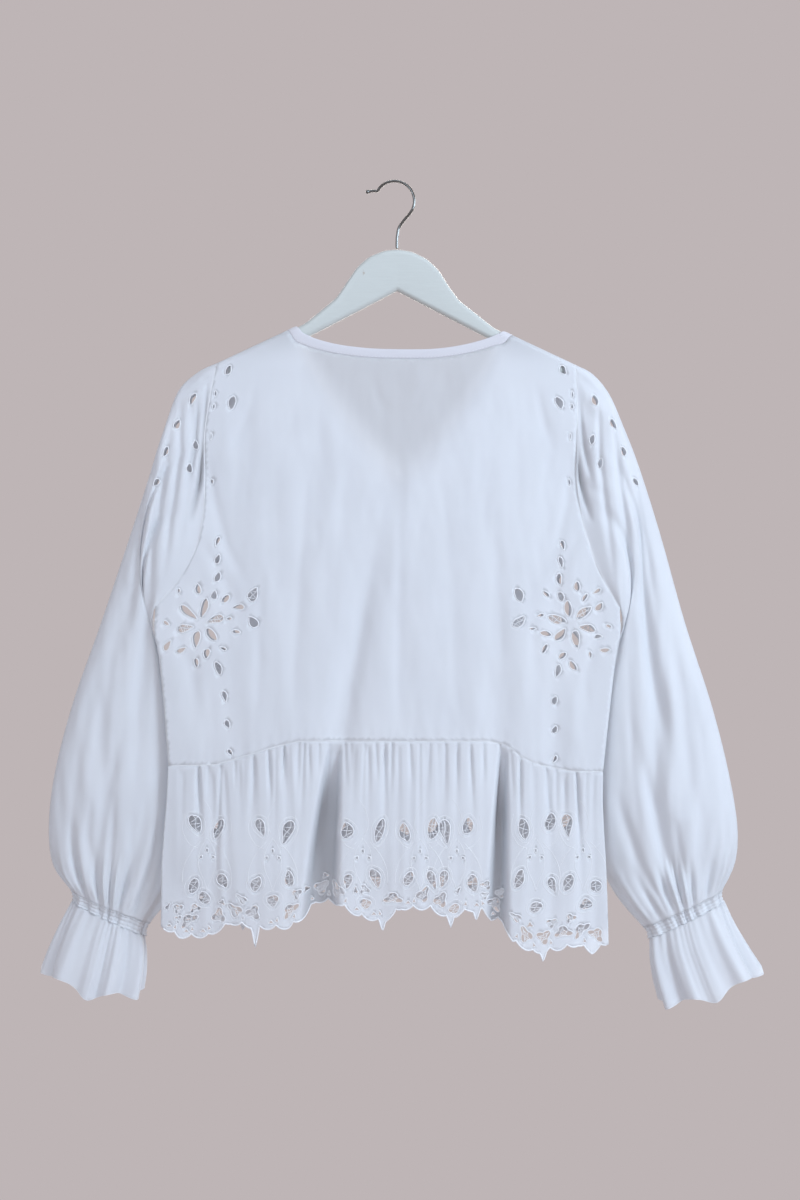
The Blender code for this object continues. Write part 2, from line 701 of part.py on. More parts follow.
def make_body_wall(name, side, outline, holes, inner, material):
    """A wall on the body, cut in x and the drop from the shoulder seam."""
    sheet, triples = cut_sheet(
        spread(outline), [spread(hole) for hole in holes], spread(inner), (1.0, 1.0), LEAST_SPACING
    )
    x, drop = unspread(sheet).T
    middle = body_point(x, drop, side)
    normals = normals_of(lambda a, b: body_point(a, b, side), x, drop, SMALL_STEP, SMALL_STEP)
    normals, triples = facing_out(normals, triples, side)
    add_wall(name, middle, normals, triples, material)


def waist_z(x):
    return along(WAIST, x)


def bodice_outline(side):
    neck = neck_line(BACK_NECK if side == BACK else FRONT_NECK, 2)
    shares = ring_share(half_angles())
    left_x, left_drop = armhole("left", shares)
    right_x, right_drop = armhole("right", shares)
    outline = [tuple(p) for p in neck]
    outline += shoulder_stretch(neck[-1][0], right_x[0])
    outline += list(zip(right_x, right_drop))
    for z in BODICE_SIDE_STOPS:
        x = float(body_edges(z)[1])
        outline.append((x, drop_of(x, z)))
    middle_stops = np.linspace(100.0, -105.6, 11)
    for x in (*WAIST_STOPS_RIGHT, *middle_stops, *WAIST_STOPS_LEFT):
        outline.append((x, drop_of(x, waist_z(x))))
    for z in BODICE_SIDE_STOPS[::-1]:
        x = float(body_edges(z)[0])
        outline.append((x, drop_of(x, z)))
    outline += list(zip(left_x[::-1], left_drop[::-1]))
    outline += shoulder_stretch(left_x[0], neck[0][0])
    return outline


def bodice_inner():
    """Spare points: rows round the shoulder roll, then an even field."""
    points = []
    for x in (*SHOULDER_STOPS, *NECK_SIDE_STOPS):
        points += [(x, ROLL_LENGTH * share) for share in ROLL_SHARES]
        points.append((x, UNDER_ROLL_DROP))
    first, last, pitch = BODICE_COLUMNS
    for row, z in enumerate(np.arange(*BODICE_ROWS)):
        shift = pitch / 2 * (row % 2)
        for x in np.arange(first + shift, last, pitch):
            points.append((x, float(drop_of(x, z))))
    return points


def cloth_holes(holes):
    """Holes given as x, z turned into x and drop."""
    turned = []
    for hole in holes:
        turned.append([(x, float(drop_of(x, z))) for x, z in hole])
    return turned


def make_bodice(side, cotton):
    holes = side_flower("left", side) + side_flower("right", side)
    if side == BACK:
        for name in ("left", "right"):
            holes += [eyelet(*row) for row in SHOULDER_EYELETS[name]]
    name = "bodice_back" if side == BACK else "bodice_front"
    outline = bodice_outline(side)
    make_body_wall(name, side, outline, cloth_holes(holes), bodice_inner(), cotton)


def make_binding(side, cotton):
    """The narrow folded band along the neck edge, in line with the panel below it."""
    rows = BACK_NECK if side == BACK else FRONT_NECK
    edge, seam = neck_line(rows, 0), neck_line(rows, 2)
    step = edge - seam
    seam = seam + step * BINDING_GAP / np.linalg.norm(step, axis=1, keepdims=True)
    name = "neck_binding_back" if side == BACK else "neck_binding_front"
    make_body_wall(name, side, [*edge, *seam[::-1]], [], [], cotton)


def peplum_folds(side):
    if side == BACK:
        return PEPLUM_BACK_FOLDS
    folds = []
    left, right = FRONT_FOLD_ENDS
    for i in range(FRONT_FOLD_COUNT):
        share = i / (FRONT_FOLD_COUNT - 1)
        x = left + (right - left) * share + 2.4 * math.sin(2.3 * i)
        hem_x = CENTRE_X + (x - CENTRE_X) * FRONT_HEM_SPREAD + 2.0 * math.sin(1.7 * i + 1)
        depth = 3.4 + 0.9 * math.sin(1.9 * i)
        hem_depth = 4.2 + 2.0 * math.sin(1.3 * i + 2)
        folds.append((x, hem_x, 0.0, 0.0, 3.5, depth, hem_depth))
    return tuple(folds)


def fold_line(fold, share):
    """Middle, flat half width and soft edge width of a fold at a share of the height."""
    seam_x, hem_x, seam_flat, hem_flat, width = fold[:5]
    lean = share**0.7
    middle = seam_x + (hem_x - seam_x) * lean
    flat = seam_flat + (hem_flat - seam_flat) * lean
    return middle, flat, width * (1 + 0.8 * share)


def hem_z(x, side):
    line = along(BACK_HEM if side == BACK else FRONT_HEM, x)
    drop = SCALLOP_DROP * np.abs(np.sin(math.pi * x / SCALLOP_PITCH)) ** 0.7
    for tip_x, tip_drop in HEM_POINTS[side]:
        spike = np.clip(1 - np.abs(x - tip_x) / HEM_POINT_HALF_WIDTH, 0.0, 1.0)
        drop = np.maximum(drop, tip_drop * spike)
    return line - drop


def peplum_point(x, z, side):
    seam = waist_z(x)
    base = body_point(x, drop_of(x, z), side)
    height = np.clip((seam - z) / PEPLUM_HEIGHT, 0.0, 1.1)
    sunk = np.zeros_like(x)
    for fold in peplum_folds(side):
        middle, flat, width = fold_line(fold, height)
        away = np.maximum(np.abs(x - middle) - flat, 0.0)
        depth = fold[5] + (fold[6] - fold[5]) * ramp(0.05, 0.7, height)
        sunk = np.maximum(sunk, depth * np.exp(-((away / width) ** 2)))
    left, right = body_edges(z)
    near_side = np.minimum(x - left, right - x)
    sunk = sunk * ramp(0.0, FOLD_RISE, height) * ramp(0.0, FOLD_FREE_SIDE, near_side)
    base[..., 1] -= side * sunk
    return base


def hem_stops(side):
    """x along the hem: three for each scallop, and each petal tip's three corners."""
    left, right = (float(edge) for edge in body_edges(HEM_SIDE_Z))
    first = math.ceil((left + 2.0) * 3 / SCALLOP_PITCH)
    last = math.floor((right - 2.0) * 3 / SCALLOP_PITCH)
    stops = [i * SCALLOP_PITCH / 3 for i in range(first, last + 1)]
    for tip_x, _ in HEM_POINTS[side]:
        stops = [x for x in stops if abs(x - tip_x) > HEM_POINT_HALF_WIDTH + 1.0]
        stops += [tip_x - HEM_POINT_HALF_WIDTH, tip_x, tip_x + HEM_POINT_HALF_WIDTH]
    return sorted(stops)


def peplum_outline(side):
    corners = [x for x, _ in WAIST[1:-1]]
    top = []
    for fold in peplum_folds(side):
        top += [fold[0] - fold[2] - 3.0, fold[0], fold[0] + fold[2] + 3.0]
    top = [x for x in top if -244.0 < x < 221.0]
    top = [x for x in top if min(abs(x - corner) for corner in corners) > 2.0]
    top = sorted(top + corners)
    outline = []
    left, right = body_edges(waist_z(-248.5))[0], body_edges(waist_z(226.0))[1]
    for x in [float(left), *top, float(right)]:
        outline.append((x, waist_z(x) - SEAM_GAP))
    for z in PEPLUM_SIDE_STOPS:
        outline.append((float(body_edges(z)[1]), z))
    left, right = (float(edge) for edge in body_edges(HEM_SIDE_Z))
    for x in [right, *hem_stops(side)[::-1], left]:
        outline.append((x, float(hem_z(np.float64(x), side))))
    for z in PEPLUM_SIDE_STOPS[::-1]:
        outline.append((float(body_edges(z)[0]), z))
    return outline


def peplum_flower(x, side):
    """Eyelets of one lily: two upper petals, two lower, and an opening above the hem."""
    holes = []
    for step_x, step_z, length, width, tilt, on_front in PEPLUM_EYELETS:
        if side == BACK or on_front:
            place = (x + step_x, PEPLUM_FLOWER_Z + step_z)
            holes.append(eyelet(*place, length, width, tilt))
    return holes


def make_peplum(side, cotton):
    holes = []
    for x in PEPLUM_FLOWERS[side]:
        holes += peplum_flower(x, side)
    folds = peplum_folds(side)
    inner = []
    for share in PEPLUM_ROWS:
        for fold in folds:
            middle, flat, width = fold_line(fold, share)
            steps = (-flat - width, 0.0, flat + width)
            if flat > DEEP_FOLD_FLAT:
                steps = (-flat - 1.7 * width, -flat, 0.0, flat, flat + 1.7 * width)
            for step in steps:
                x = middle + step
                inner.append((x, waist_z(x) - share * PEPLUM_HEIGHT))
    sheet, triples = cut_sheet(peplum_outline(side), holes, inner, (3.0, 1.0), 4.0)
    x, z = sheet[:, 0], sheet[:, 1]
    middle = peplum_point(x, z, side)
    normals = normals_of(lambda a, b: peplum_point(a, b, side), x, z, SMALL_STEP, SMALL_STEP)
    normals, triples = facing_out(normals, triples, side)
    name = "peplum_back" if side == BACK else "peplum_front"
    add_wall(name, middle, normals, triples, cotton)


def ring_point(ring, phi, lift=0.0):
    """A point round a flattened ring: 0 is its outer edge and pi its inner edge."""
    outer_x, outer_z, inner_x, inner_z, outer_y, inner_y, depth, bow = np.moveaxis(ring, -1, 0)
    theta = phi + EVEN_SPREAD * np.sin(2 * phi)
    share = (1 - np.cos(theta)) / 2
    chord_x, chord_z = inner_x - outer_x, inner_z - outer_z
    length = np.hypot(chord_x, chord_z)
    way_x, way_z = chord_x / length, chord_z / length
    out_along, out_y = -np.cos(theta) * depth, np.sin(theta) * length / 2
    size = np.hypot(out_along, out_y)
    moved = lift * out_along / size
    bend = 4 * share * (1 - share) * bow
    x = outer_x + share * chord_x + moved * way_x - bend * way_z
    z = outer_z + share * chord_z + moved * way_z + bend * way_x
    y = outer_y + share * (inner_y - outer_y)
    y = y - depth * np.sin(theta) - lift * out_y / size
    return np.stack([x, y, z], axis=-1)


def armhole_edge(name, phi, side):
    """The bodice's armhole edge and its normal at the sleeve's angle."""
    x, drop = armhole(name, ring_share(phi))
    return body_point(x, drop, side), body_normals(x, drop, side)


def armhole_start(name, phi, side):
    """Where the sleeve begins: the armhole edge moved out along the cloth by the seam gap."""
    step = 0.01
    place, normal = armhole_edge(name, phi, side)
    before = armhole_edge(name, np.clip(phi - step, 0.0, math.pi), side)[0]
    after = armhole_edge(name, np.clip(phi + step, 0.0, math.pi), side)[0]
    way = unit(np.cross(normal, after - before))
    outward = -1 if name == "left" else 1
    way = way * np.where(way[..., :1] * outward < 0, -1.0, 1.0)
    return place + way * SLEEVE_SEAM_GAP, normal


def sleeve_rings(name):
    rings = LEFT_SLEEVE if name == "left" else RIGHT_SLEEVE
    return [(row, *ring) for row, ring in enumerate(rings)]


def sleeve_folds(name, share, row, side):
    sunk = np.zeros_like(share)
    for top, top_row, foot, foot_row, width, depth in SLEEVE_FOLDS[name]:
        way = (row - top_row) / (foot_row - top_row)
        line = top + (foot - top) * np.clip(way, 0.0, 1.0)
        if side == FRONT:
            line = line * 0.85 + 0.05
        fade = ramp(0.0, 0.35, way) * (1 - ramp(0.75, 1.0, way))
        sunk = sunk + depth * fade * np.exp(-(((share - line) / width) ** 2))
    return sunk


def sleeve_half(ring, phi, lift, apart, side):
    """A point on the back of a ring, moved apart from the other half, or on its front."""
    place = ring_point(ring, phi, lift)
    middle = ring[..., 4] + ring_share(phi) * (ring[..., 5] - ring[..., 4])
    place[..., 1] = middle - side * (place[..., 1] - apart - middle)
    return place


def sleeve_point(name, phi, row, side):
    """The sleeve at an angle from its outer edge and a ring number down its length."""
    rings = sleeve_rings(name)
    ring = through(rings, row)
    share = ring_share(phi)
    cap = CAP_GATHER * ramp(0.0, 0.5, row) * (1 - ramp(0.8, 2.2, row))
    cap = cap * ramp(0.0, 0.1, share) * (1 - ramp(0.45, 0.7, share))
    cuff = CUFF_GATHER * ramp(9.2, 10.4, row) * (1 - 0.5 * ramp(10.5, 11.0, row))
    wave = np.cos(2 * SLEEVE_GATHERS * phi)
    lift = (cap + cuff) * wave - sleeve_folds(name, share, row, side)
    apart = (SIDE_EDGE - SEAM_GAP / 2) * share
    closing = SEAM_GAP / 2 + apart * (1 - ramp(0.0, 3.0, row))
    place = sleeve_half(ring, phi, lift, closing, side)
    start = through(rings, np.zeros_like(row))
    first = sleeve_half(start, phi, 0.0, SEAM_GAP / 2 + apart, side)
    edge = armhole_start(name, phi, side)[0]
    hold = 1 - ramp(0.0, ARMHOLE_PULL_ROWS, row)
    return place + (edge - first) * hold[..., None]


def sleeve_normals(name, phi, row, side):
    last = len(LEFT_SLEEVE) - 1

    def point(a, b):
        return sleeve_point(name, np.clip(a, 0.0, math.pi), np.clip(b, 0.0, last), side)

    normals = normals_of(point, phi, row, 0.004, 0.004)
    if np.sign(normals[:, 1].mean()) != side:
        normals = -normals
    edge = armhole_edge(name, phi, side)[1]
    hold = (1 - ramp(0.0, 0.25, row))[..., None]
    normals = unit(normals * (1 - hold) + edge * hold)
    ring = through(sleeve_rings(name), np.array(float(last)))
    return flat_to_ring(normals, ring, ramp(last - 0.3, last, row))


def flat_to_ring(normals, ring, hold):
    """Normals turned into the ring's own plane, so that two walls meet rim to rim."""
    axis = ring_axis(ring)
    off = (normals @ axis)[..., None] * axis
    return unit(normals - off * hold[..., None])


def ring_axis(ring):
    """Down the arm, across the ring's plane."""
    chord = np.array([ring[2] - ring[0], 0.0, ring[3] - ring[1]])
    axis = unit(np.cross(chord, [0.0, 1.0, 0.0]))
    return axis if axis[2] < 0 else -axis


def sleeve_place(name, x, z):
    """Angle and ring number of the sleeve's back where it passes x, z."""
    phi, row = np.meshgrid(np.linspace(0.05, 3.05, 60), np.linspace(0.02, 6.0, 120))
    places = sleeve_point(name, phi, row, BACK)
    gap = np.hypot(places[..., 0] - x, places[..., 2] - z)
    best = np.unravel_index(gap.argmin(), gap.shape)
    return phi[best], row[best]


def sleeve_hole(name, x, z, length, width, tilt, side):
    """An eyelet drawn at x, z and laid on the sleeve's own coordinates."""
    phi, row = sleeve_place(name, x, z)
    step = 0.01
    here = sleeve_point(name, np.array(phi), np.array(row), side)[[0, 2]]
    over = sleeve_point(name, np.array(phi + step), np.array(row), side)[[0, 2]] - here
    down = sleeve_point(name, np.array(phi), np.array(row + step), side)[[0, 2]] - here
    to_cloth = np.linalg.inv(np.stack([over, down], axis=1) / step)
    shape = np.array(eyelet(0.0, 0.0, length, width, tilt))
    return shape @ to_cloth.T + (phi, row)


def sleeve_eyelets(name, side):
    """A spray of eyelets down the sleeve head."""
    rows = SLEEVE_SPRAY[name] if side == BACK else SLEEVE_SPRAY[name][:SPRAY_ON_BOTH]
    return [sleeve_hole(name, *row, side) for row in rows]


def make_sleeve(name, side, cotton):
    last = len(LEFT_SLEEVE) - 1.0
    angles = half_angles()
    fine = np.linspace(0.0, math.pi, 4 * SLEEVE_GATHERS + 1)
    inner_rows = (0.6, *SLEEVE_ROWS[1:], 10.2)
    outline = [(phi, 0.0) for phi in angles]
    outline += [(math.pi, row) for row in inner_rows]
    outline += [(phi, last) for phi in fine[::-1]]
    outline += [(0.0, row) for row in inner_rows[::-1]]
    columns = angles[1 + len(SHOULDER_ANGLES) : -1]
    inner = [(phi, row) for row in SLEEVE_ROWS for phi in columns]
    cap = fine[2:19]
    inner += [(phi, CAP_ROW) for phi in cap]
    inner += [(phi, row) for row in CUFF_ROWS for phi in fine[1:-1]]
    sheet, triples = cut_sheet(
        outline, sleeve_eyelets(name, side), inner, SLEEVE_STRETCH, LEAST_SPACING
    )
    phi, row = sheet[:, 0], sheet[:, 1]
    middle = sleeve_point(name, phi, row, side)
    normals = sleeve_normals(name, phi, row, side)
    a, b, c = (middle[triples[:, i]] for i in range(3))
    facing = np.cross(b - a, c - a)
    agree = np.einsum("ij,ij->i", facing, normals[triples[:, 0]])
    if agree.sum() < 0:
        triples = triples[:, ::-1]
    end = "back" if side == BACK else "front"
    add_wall(f"sleeve_{name}_{end}", middle, normals, triples, cotton)


def add_ring_wall(name, point, columns, stops, ends, material):
    """A tube wall: rings of columns points at each stop, the first and last rims flat."""
    phi = np.arange(columns) * 2 * math.pi / columns
    grid_phi, grid_stop = np.meshgrid(phi, stops)
    middle = point(grid_phi, grid_stop).reshape(-1, 3)
    low, high = stops[0], stops[-1]

    def held(a, b):
        return point(a, np.clip(b, low, high))

    normals = normals_of(held, grid_phi, grid_stop, 0.003, 0.003)
    centre = middle.reshape(len(stops), columns, 3).mean(axis=1, keepdims=True)
    outward = middle.reshape(len(stops), columns, 3) - centre
    if (normals * outward).sum() < 0:
        normals = -normals
    for row, ring in ((0, ends[0]), (-1, ends[1])):
        normals[row] = flat_to_ring(normals[row], ring, np.ones(columns))
    normals = normals.reshape(-1, 3)
    triples = []
    for row in range(len(stops) - 1):
        for column in range(columns):
            a = row * columns + column
            b = row * columns + (column + 1) % columns
            c, d = a + columns, b + columns
            triples += [(a, b, d), (a, d, c)]
    triples = np.array(triples)
    first = middle[triples[:, 1]] - middle[triples[:, 0]]
    second = middle[triples[:, 2]] - middle[triples[:, 0]]
    agree = np.einsum("ij,ij->i", np.cross(first, second), normals[triples[:, 0]])
    if agree.sum() < 0:
        triples = triples[:, ::-1]
    add_wall(name, middle, normals, triples, material)


def moved_along(ring, distance):
    """A ring slid along its own axis."""
    axis = ring_axis(ring) * distance
    moved = np.array(ring, float)
    moved[[0, 2]] += axis[0]
    moved[[1, 3]] += axis[2]
    return moved


def make_shirring(name, cotton):
    """The elastic band: a narrow gathered tube, pinched along its middle."""
    top = moved_along(np.array(CUFF_RINGS[name][0]), SLEEVE_SEAM_GAP)
    foot = np.array(CUFF_RINGS[name][1])

    def point(phi, stop):
        ring = top + (foot - top) * stop[..., None]
        pinch = SHIRRING_PINCH * np.sin(math.pi * stop)
        lift = SHIRRING_LIFT * np.cos(SHIRRING_WAVES * phi) - pinch
        return ring_point(ring, phi, lift)

    stops = np.array(SHIRRING_STOPS)
    add_ring_wall(
        f"cuff_shirring_{name}", point, 4 * SHIRRING_WAVES, stops, (top, foot), cotton
    )


def make_ruffle(name, cotton):
    """The flared frill below the elastic, waved more and more towards its hem."""
    start = moved_along(np.array(CUFF_RINGS[name][1]), SLEEVE_SEAM_GAP)
    foot = np.array(CUFF_RINGS[name][-1])
    rings = [(1.0, *start)]
    rings += [(row, *ring) for row, ring in enumerate(CUFF_RINGS[name]) if row > 1]
    axis = ring_axis(foot)

    def point(phi, stop):
        ring = through(rings, stop)
        share = (stop - 1.0) / 3.0
        phase = RUFFLE_WAVES * phi + RUFFLE_UNEVEN * np.sin(2 * phi + 0.6)
        size = RUFFLE_TOP_LIFT + (RUFFLE_LIFT - RUFFLE_TOP_LIFT) * share
        lift = size * np.cos(phase)
        place = ring_point(ring, phi, lift)
        dip = RUFFLE_HEM_WAVE * share**2 * np.sin(phase * 0.5 + 1.0)
        return place + dip[..., None] * axis

    stops = np.array(RUFFLE_STOPS)
    add_ring_wall(
        f"cuff_ruffle_{name}", point, 6 * RUFFLE_WAVES, stops, (start, foot), cotton
    )


def hanger_outline(x):
    """Top and underside of the hanger at x."""
    crest = list(HANGER_CREST)
    hidden = [(sx, sz - HANGER_UNDER_CLOTH) for sx, sz in SHOULDER if abs(sx) > HANGER_HIDDEN_X]
    top = along(sorted(crest + hidden), x)
    return top, HANGER_CENTRE_UNDERSIDE - HANGER_ARM_FALL * abs(x - HOOK_X)


def hanger_stations():
    """x of each cross-section, with the height and thickness kept there."""
    inner = [x for x, _ in HANGER_CREST]
    stations = []
    for end, start in zip(HANGER_ENDS, (inner[0], inner[-1])):
        arm = [end + (start - end) * share for share in HANGER_ARM_STATIONS]
        stations += arm
    return sorted(set(stations + inner))


def make_hanger(wood):
    """A contoured wooden hanger, as rounded cross-sections along its length."""
    corners, faces = [], []
    stations = hanger_stations()
    ring, half_ring = HANGER_RING, HANGER_RING // 2
    for x in stations:
        top, low = hanger_outline(x)
        to_end = min(x - HANGER_ENDS[0], HANGER_ENDS[1] - x)
        rounding = math.sqrt(min(1.0, to_end / HANGER_END_ROUND))
        keep = HANGER_END_KEEP + (1 - HANGER_END_KEEP) * rounding
        half = HANGER_HALF * keep
        middle, tall = (top + low) / 2, (top - low) * keep / 2
        for i in range(ring):
            angle = math.pi * (i % half_ring) / (half_ring - 1)
            sign = 1 if i < half_ring else -1
            y = half * math.cos(angle) * sign
            z = middle + sign * (tall - half + half * math.sin(angle))
            corners.append((x, y, z))
    for row in range(len(stations) - 1):
        for i in range(ring):
            a, b = row * ring + i, row * ring + (i + 1) % ring
            faces.append((a, b, b + ring, a + ring))
    faces.append(tuple(range(ring))[::-1])
    faces.append(tuple(range((len(stations) - 1) * ring, len(stations) * ring)))
    add_piece("hanger_body", corners, faces, wood)


def make_hook(chrome):
    """Bent wire: a short stem, most of a circle and a small turned-up tip."""
    route = [Vector((x, 0.0, z)) for x, z in HOOK_STEM]
    start, end = HOOK_ARC
    for i in range(HOOK_STEPS + 1):
        angle = math.radians(start + (end - start) * i / HOOK_STEPS)
        x = HOOK_CENTRE[0] + HOOK_RADIUS * math.cos(angle)
        z = HOOK_CENTRE[1] + HOOK_RADIUS * math.sin(angle)
        route.append(Vector((x, 0.0, z)))
    route += [Vector((x, 0.0, z)) for x, z in HOOK_TIP]
    curve = bpy.data.curves.new("hanger_hook", "CURVE")
    curve.dimensions = "3D"
    curve.bevel_depth = HOOK_WIRE / 2 * MM
    curve.bevel_resolution = 2
    curve.use_fill_caps = True
    spline = curve.splines.new("POLY")
    spline.points.add(len(route) - 1)
    for point, place in zip(spline.points, route):
        point.co = (*(place * MM), 1.0)
    spline.points[-1].radius = HOOK_TIP_SWELL
    curve.materials.append(chrome)
    hook = bpy.data.objects.new("hanger_hook", curve)
    bpy.context.scene.collection.objects.link(hook)


def finish_of(name, colour, roughness, metallic=0.0):
    material = bpy.data.materials.new(name)
    material.use_nodes = True
    shader = material.node_tree.nodes["Principled BSDF"]
    shader.inputs["Base Color"].default_value = (*colour, 1.0)
    shader.inputs["Roughness"].default_value = roughness
    shader.inputs["Metallic"].default_value = metallic
    return material


def main():
    for item in list(bpy.data.objects):
        bpy.data.objects.remove(item, do_unlink=True)
    cotton = finish_of("white_cotton", (0.80, 0.83, 0.88), 0.85)
    binding = finish_of("cotton_binding", (0.84, 0.86, 0.90), 0.8)
    wood = finish_of("white_painted_wood", (0.78, 0.81, 0.82), 0.45)
    chrome = finish_of("chromed_wire", (0.72, 0.73, 0.75), 0.15, 1.0)
    make_hanger(wood)
    make_hook(chrome)
    for side in (BACK, FRONT):
        make_bodice(side, cotton)
        make_binding(side, binding)
        make_peplum(side, cotton)
    for name in ("left", "right"):
        for side in (BACK, FRONT):
            make_sleeve(name, side, cotton)
        make_shirring(name, cotton)
        make_ruffle(name, cotton)


main()
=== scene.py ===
"""Dresses the peplum blouse on its hanger for rendering.

The back of the blouse faces -Y, and the wearer's left is at -X. Lengths are in millimetres
until the meshes are made. Each cloth piece is a fine thin shell on the same surface as its
solid, with smaller creases, cutwork edges, bars and stitching added.
"""

import json
import math

import bpy
import numpy as np
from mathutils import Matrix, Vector, noise
from mathutils.geometry import delaunay_2d_cdt

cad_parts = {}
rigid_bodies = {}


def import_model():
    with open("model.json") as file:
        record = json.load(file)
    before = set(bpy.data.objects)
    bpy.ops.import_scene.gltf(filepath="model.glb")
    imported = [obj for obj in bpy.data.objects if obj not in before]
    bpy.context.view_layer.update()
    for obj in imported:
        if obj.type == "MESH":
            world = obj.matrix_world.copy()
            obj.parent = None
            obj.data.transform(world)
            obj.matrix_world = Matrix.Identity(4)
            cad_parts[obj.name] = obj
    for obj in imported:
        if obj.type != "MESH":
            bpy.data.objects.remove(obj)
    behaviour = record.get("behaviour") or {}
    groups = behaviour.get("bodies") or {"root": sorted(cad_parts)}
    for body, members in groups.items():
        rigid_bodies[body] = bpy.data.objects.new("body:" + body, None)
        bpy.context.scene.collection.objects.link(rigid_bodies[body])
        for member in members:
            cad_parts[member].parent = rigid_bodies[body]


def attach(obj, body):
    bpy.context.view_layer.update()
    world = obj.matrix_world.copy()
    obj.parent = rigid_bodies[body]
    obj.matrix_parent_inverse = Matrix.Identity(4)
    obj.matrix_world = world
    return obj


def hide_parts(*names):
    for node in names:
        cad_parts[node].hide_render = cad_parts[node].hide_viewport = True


MM = 0.001
WALL = 1.3
SEAM_GAP = 0.3
SLEEVE_SEAM_GAP = 0.05
BACK, FRONT = -1, 1
END = {BACK: "back", FRONT: "front"}
ARMS = ("left", "right")

# Wooden hanger
HANGER_HALF = 6.0
HANGER_ARM_FALL = 0.52
HANGER_CENTRE_UNDERSIDE = -120.2
HANGER_UNDER_CLOTH = 1.7
HANGER_CREST = (  # x, z of the visible crest
    (-112, -161.7),
    (-100, -155.6),
    (-85.5, -143.9),
    (-65.3, -126.9),
    (-55.2, -111.8),
    (-43.5, -94.2),
    (-29.9, -82.3),
    (-13.2, -75.6),
    (1, -74.2),
    (17.2, -76.5),
    (34.1, -84.8),
    (47.5, -97.5),
    (57.6, -114.3),
    (69.4, -130.4),
    (89.7, -146.3),
    (108, -160.9),
    (121, -167.4),
)
HANGER_ENDS = (-184.0, 185.0)
HANGER_END_KEEP = 0.45
HANGER_END_ROUND = 8.0
HANGER_HIDDEN_X = 100.0
HANGER_END_STEPS = (0.3, 1.0, 2.0, 3.5, 5.5)
HANGER_SMOOTHING = np.linspace(-3.5, 3.5, 5)
HANGER_ROUND_RISE = 0.2
HANGER_STATIONS, HANGER_SIDES = 180, 48

# Wire hook, from the wood to the tip
HOOK_WIRE = 3.2
HOOK_X = 1.0
HOOK_CENTRE = (-1.6, -20.6)
HOOK_RADIUS = 21.8
HOOK_STEM = ((1.0, -73.6), (1.4, -60.0), (3.4, -50.0), (9.0, -41.8))
HOOK_ARC = (-38.0, 150.0)
HOOK_TIP = ((-24.6, -9.6), (-31.1, -10.6))
HOOK_STEPS = 16
HOOK_PATH_STEPS = 220
HOOK_SIDES = 24
BEAD_RINGS = 13
BEAD_SWELL = 1.5

# Shoulder line that the cloth rolls over
SHOULDER = (  # x, z
    (-262, -234.8),
    (-195.8, -199.1),
    (-111.1, -159.5),
    (0, -108),
    (119.9, -165),
    (196.9, -201.3),
    (262, -236),
)
ROLL = HANGER_HALF + SEAM_GAP + WALL / 2
ROLL_LENGTH = ROLL * math.pi / 2
ROLL_EXTRA = ROLL_LENGTH - ROLL
ROLL_SHARES = (0.25, 0.5, 0.75, 1.0)
ROLL_SPREAD = 5.0
SMALL_STEPS = (0.05, 0.05)
TURN_STEP = 0.01

# Sides of the body, down the armhole side, the side seam and the peplum
SIDES = (  # z, left x, right x
    (-190, -250, 236),
    (-420, -261, 243),
    (-468, -262.9, 244.6),
    (-515, -259.6, 240.5),
    (-570, -254.1, 234.5),
    (-645, -248.5, 226),
    (-690, -251.5, 225.5),
    (-740, -256, 229),
    (-870, -257, 234),
)
CENTRE_X = -9.0
SIDE_ROUNDNESS = 3.5
SIDE_SHIFT = 16.0
SIDE_SHIFT_Z = (-300.0, -450.0)
SIDE_EDGE = 0.9
SIDE_CLOSING_DROP = (60.0, 220.0)
FULLNESS = (  # z, depth added to the roll's
    (-195, 0),
    (-240, 1.5),
    (-330, 7),
    (-470, 11),
    (-614, 14),
    (-700, 19),
    (-860, 24),
)

# Neck edge and the lower edge of its binding; first and last points lie on the shoulder seam
BACK_NECK = (  # edge x, edge z, seam x, seam z
    (-111.1, None, -121, None),
    (-104, -165, -111, -175.5),
    (-94.6, -170.5, -101, -180.3),
    (-72.6, -177.6, -76, -187.5),
    (-39.6, -182.8, -41, -193),
    (4.4, -184.8, 4.4, -195),
    (48.4, -183.7, 49.5, -193.8),
    (81.4, -178.2, 84, -188),
    (103.4, -171.6, 108.5, -181),
    (112.5, -168.2, 119.5, -177.5),
    (119.9, None, 129.5, None),
)
FRONT_NECK = (
    (-111.1, None, -121, None),
    (-107, -172, -116.5, -176),
    (-92, -204, -101, -208.5),
    (-60, -252, -68.5, -257.5),
    (-24, -295, -31.5, -301.5),
    (9, -329, 9, -343),
    (42, -297, 49.5, -303.5),
    (74, -254, 82.5, -259.5),
    (101, -206, 110, -210.5),
    (115.5, -175, 125, -179),
    (119.9, None, 129.5, None),
)

# Armhole, by the share of the way from the shoulder tip to the underarm
ARMHOLE = (  # share, left x, left z, right x, right z
    (0, -195.8, -199.1 + ROLL_EXTRA, 196.9, -201.3 + ROLL_EXTRA),
    (0.15, -204.6, -239.8, 199, -240),
    (0.32, -210.1, -283.8, 198, -284),
    (0.48, -209.5, -327.8, 197.5, -328),
    (0.63, -211.5, -368, 202, -362),
    (0.76, -218.5, -402, 209.5, -394),
    (0.88, -236, -436, 222.5, -430),
    (1, -262.7, -467.5, 244.3, -468.6),
)

# Waist seam
WAIST = (  # x, z
    (-260, -641.3),
    (-197.5, -639.8),
    (-154, -627),
    (-130, -619.3),
    (-105.6, -613.8),
    (100, -613.8),
    (120, -618),
    (138, -631.5),
    (158.1, -640.2),
    (190.9, -646.5),
    (240, -648),
)

BODICE_SIDE_STOPS = (-500.0, -535.0, -570.0, -610.0)

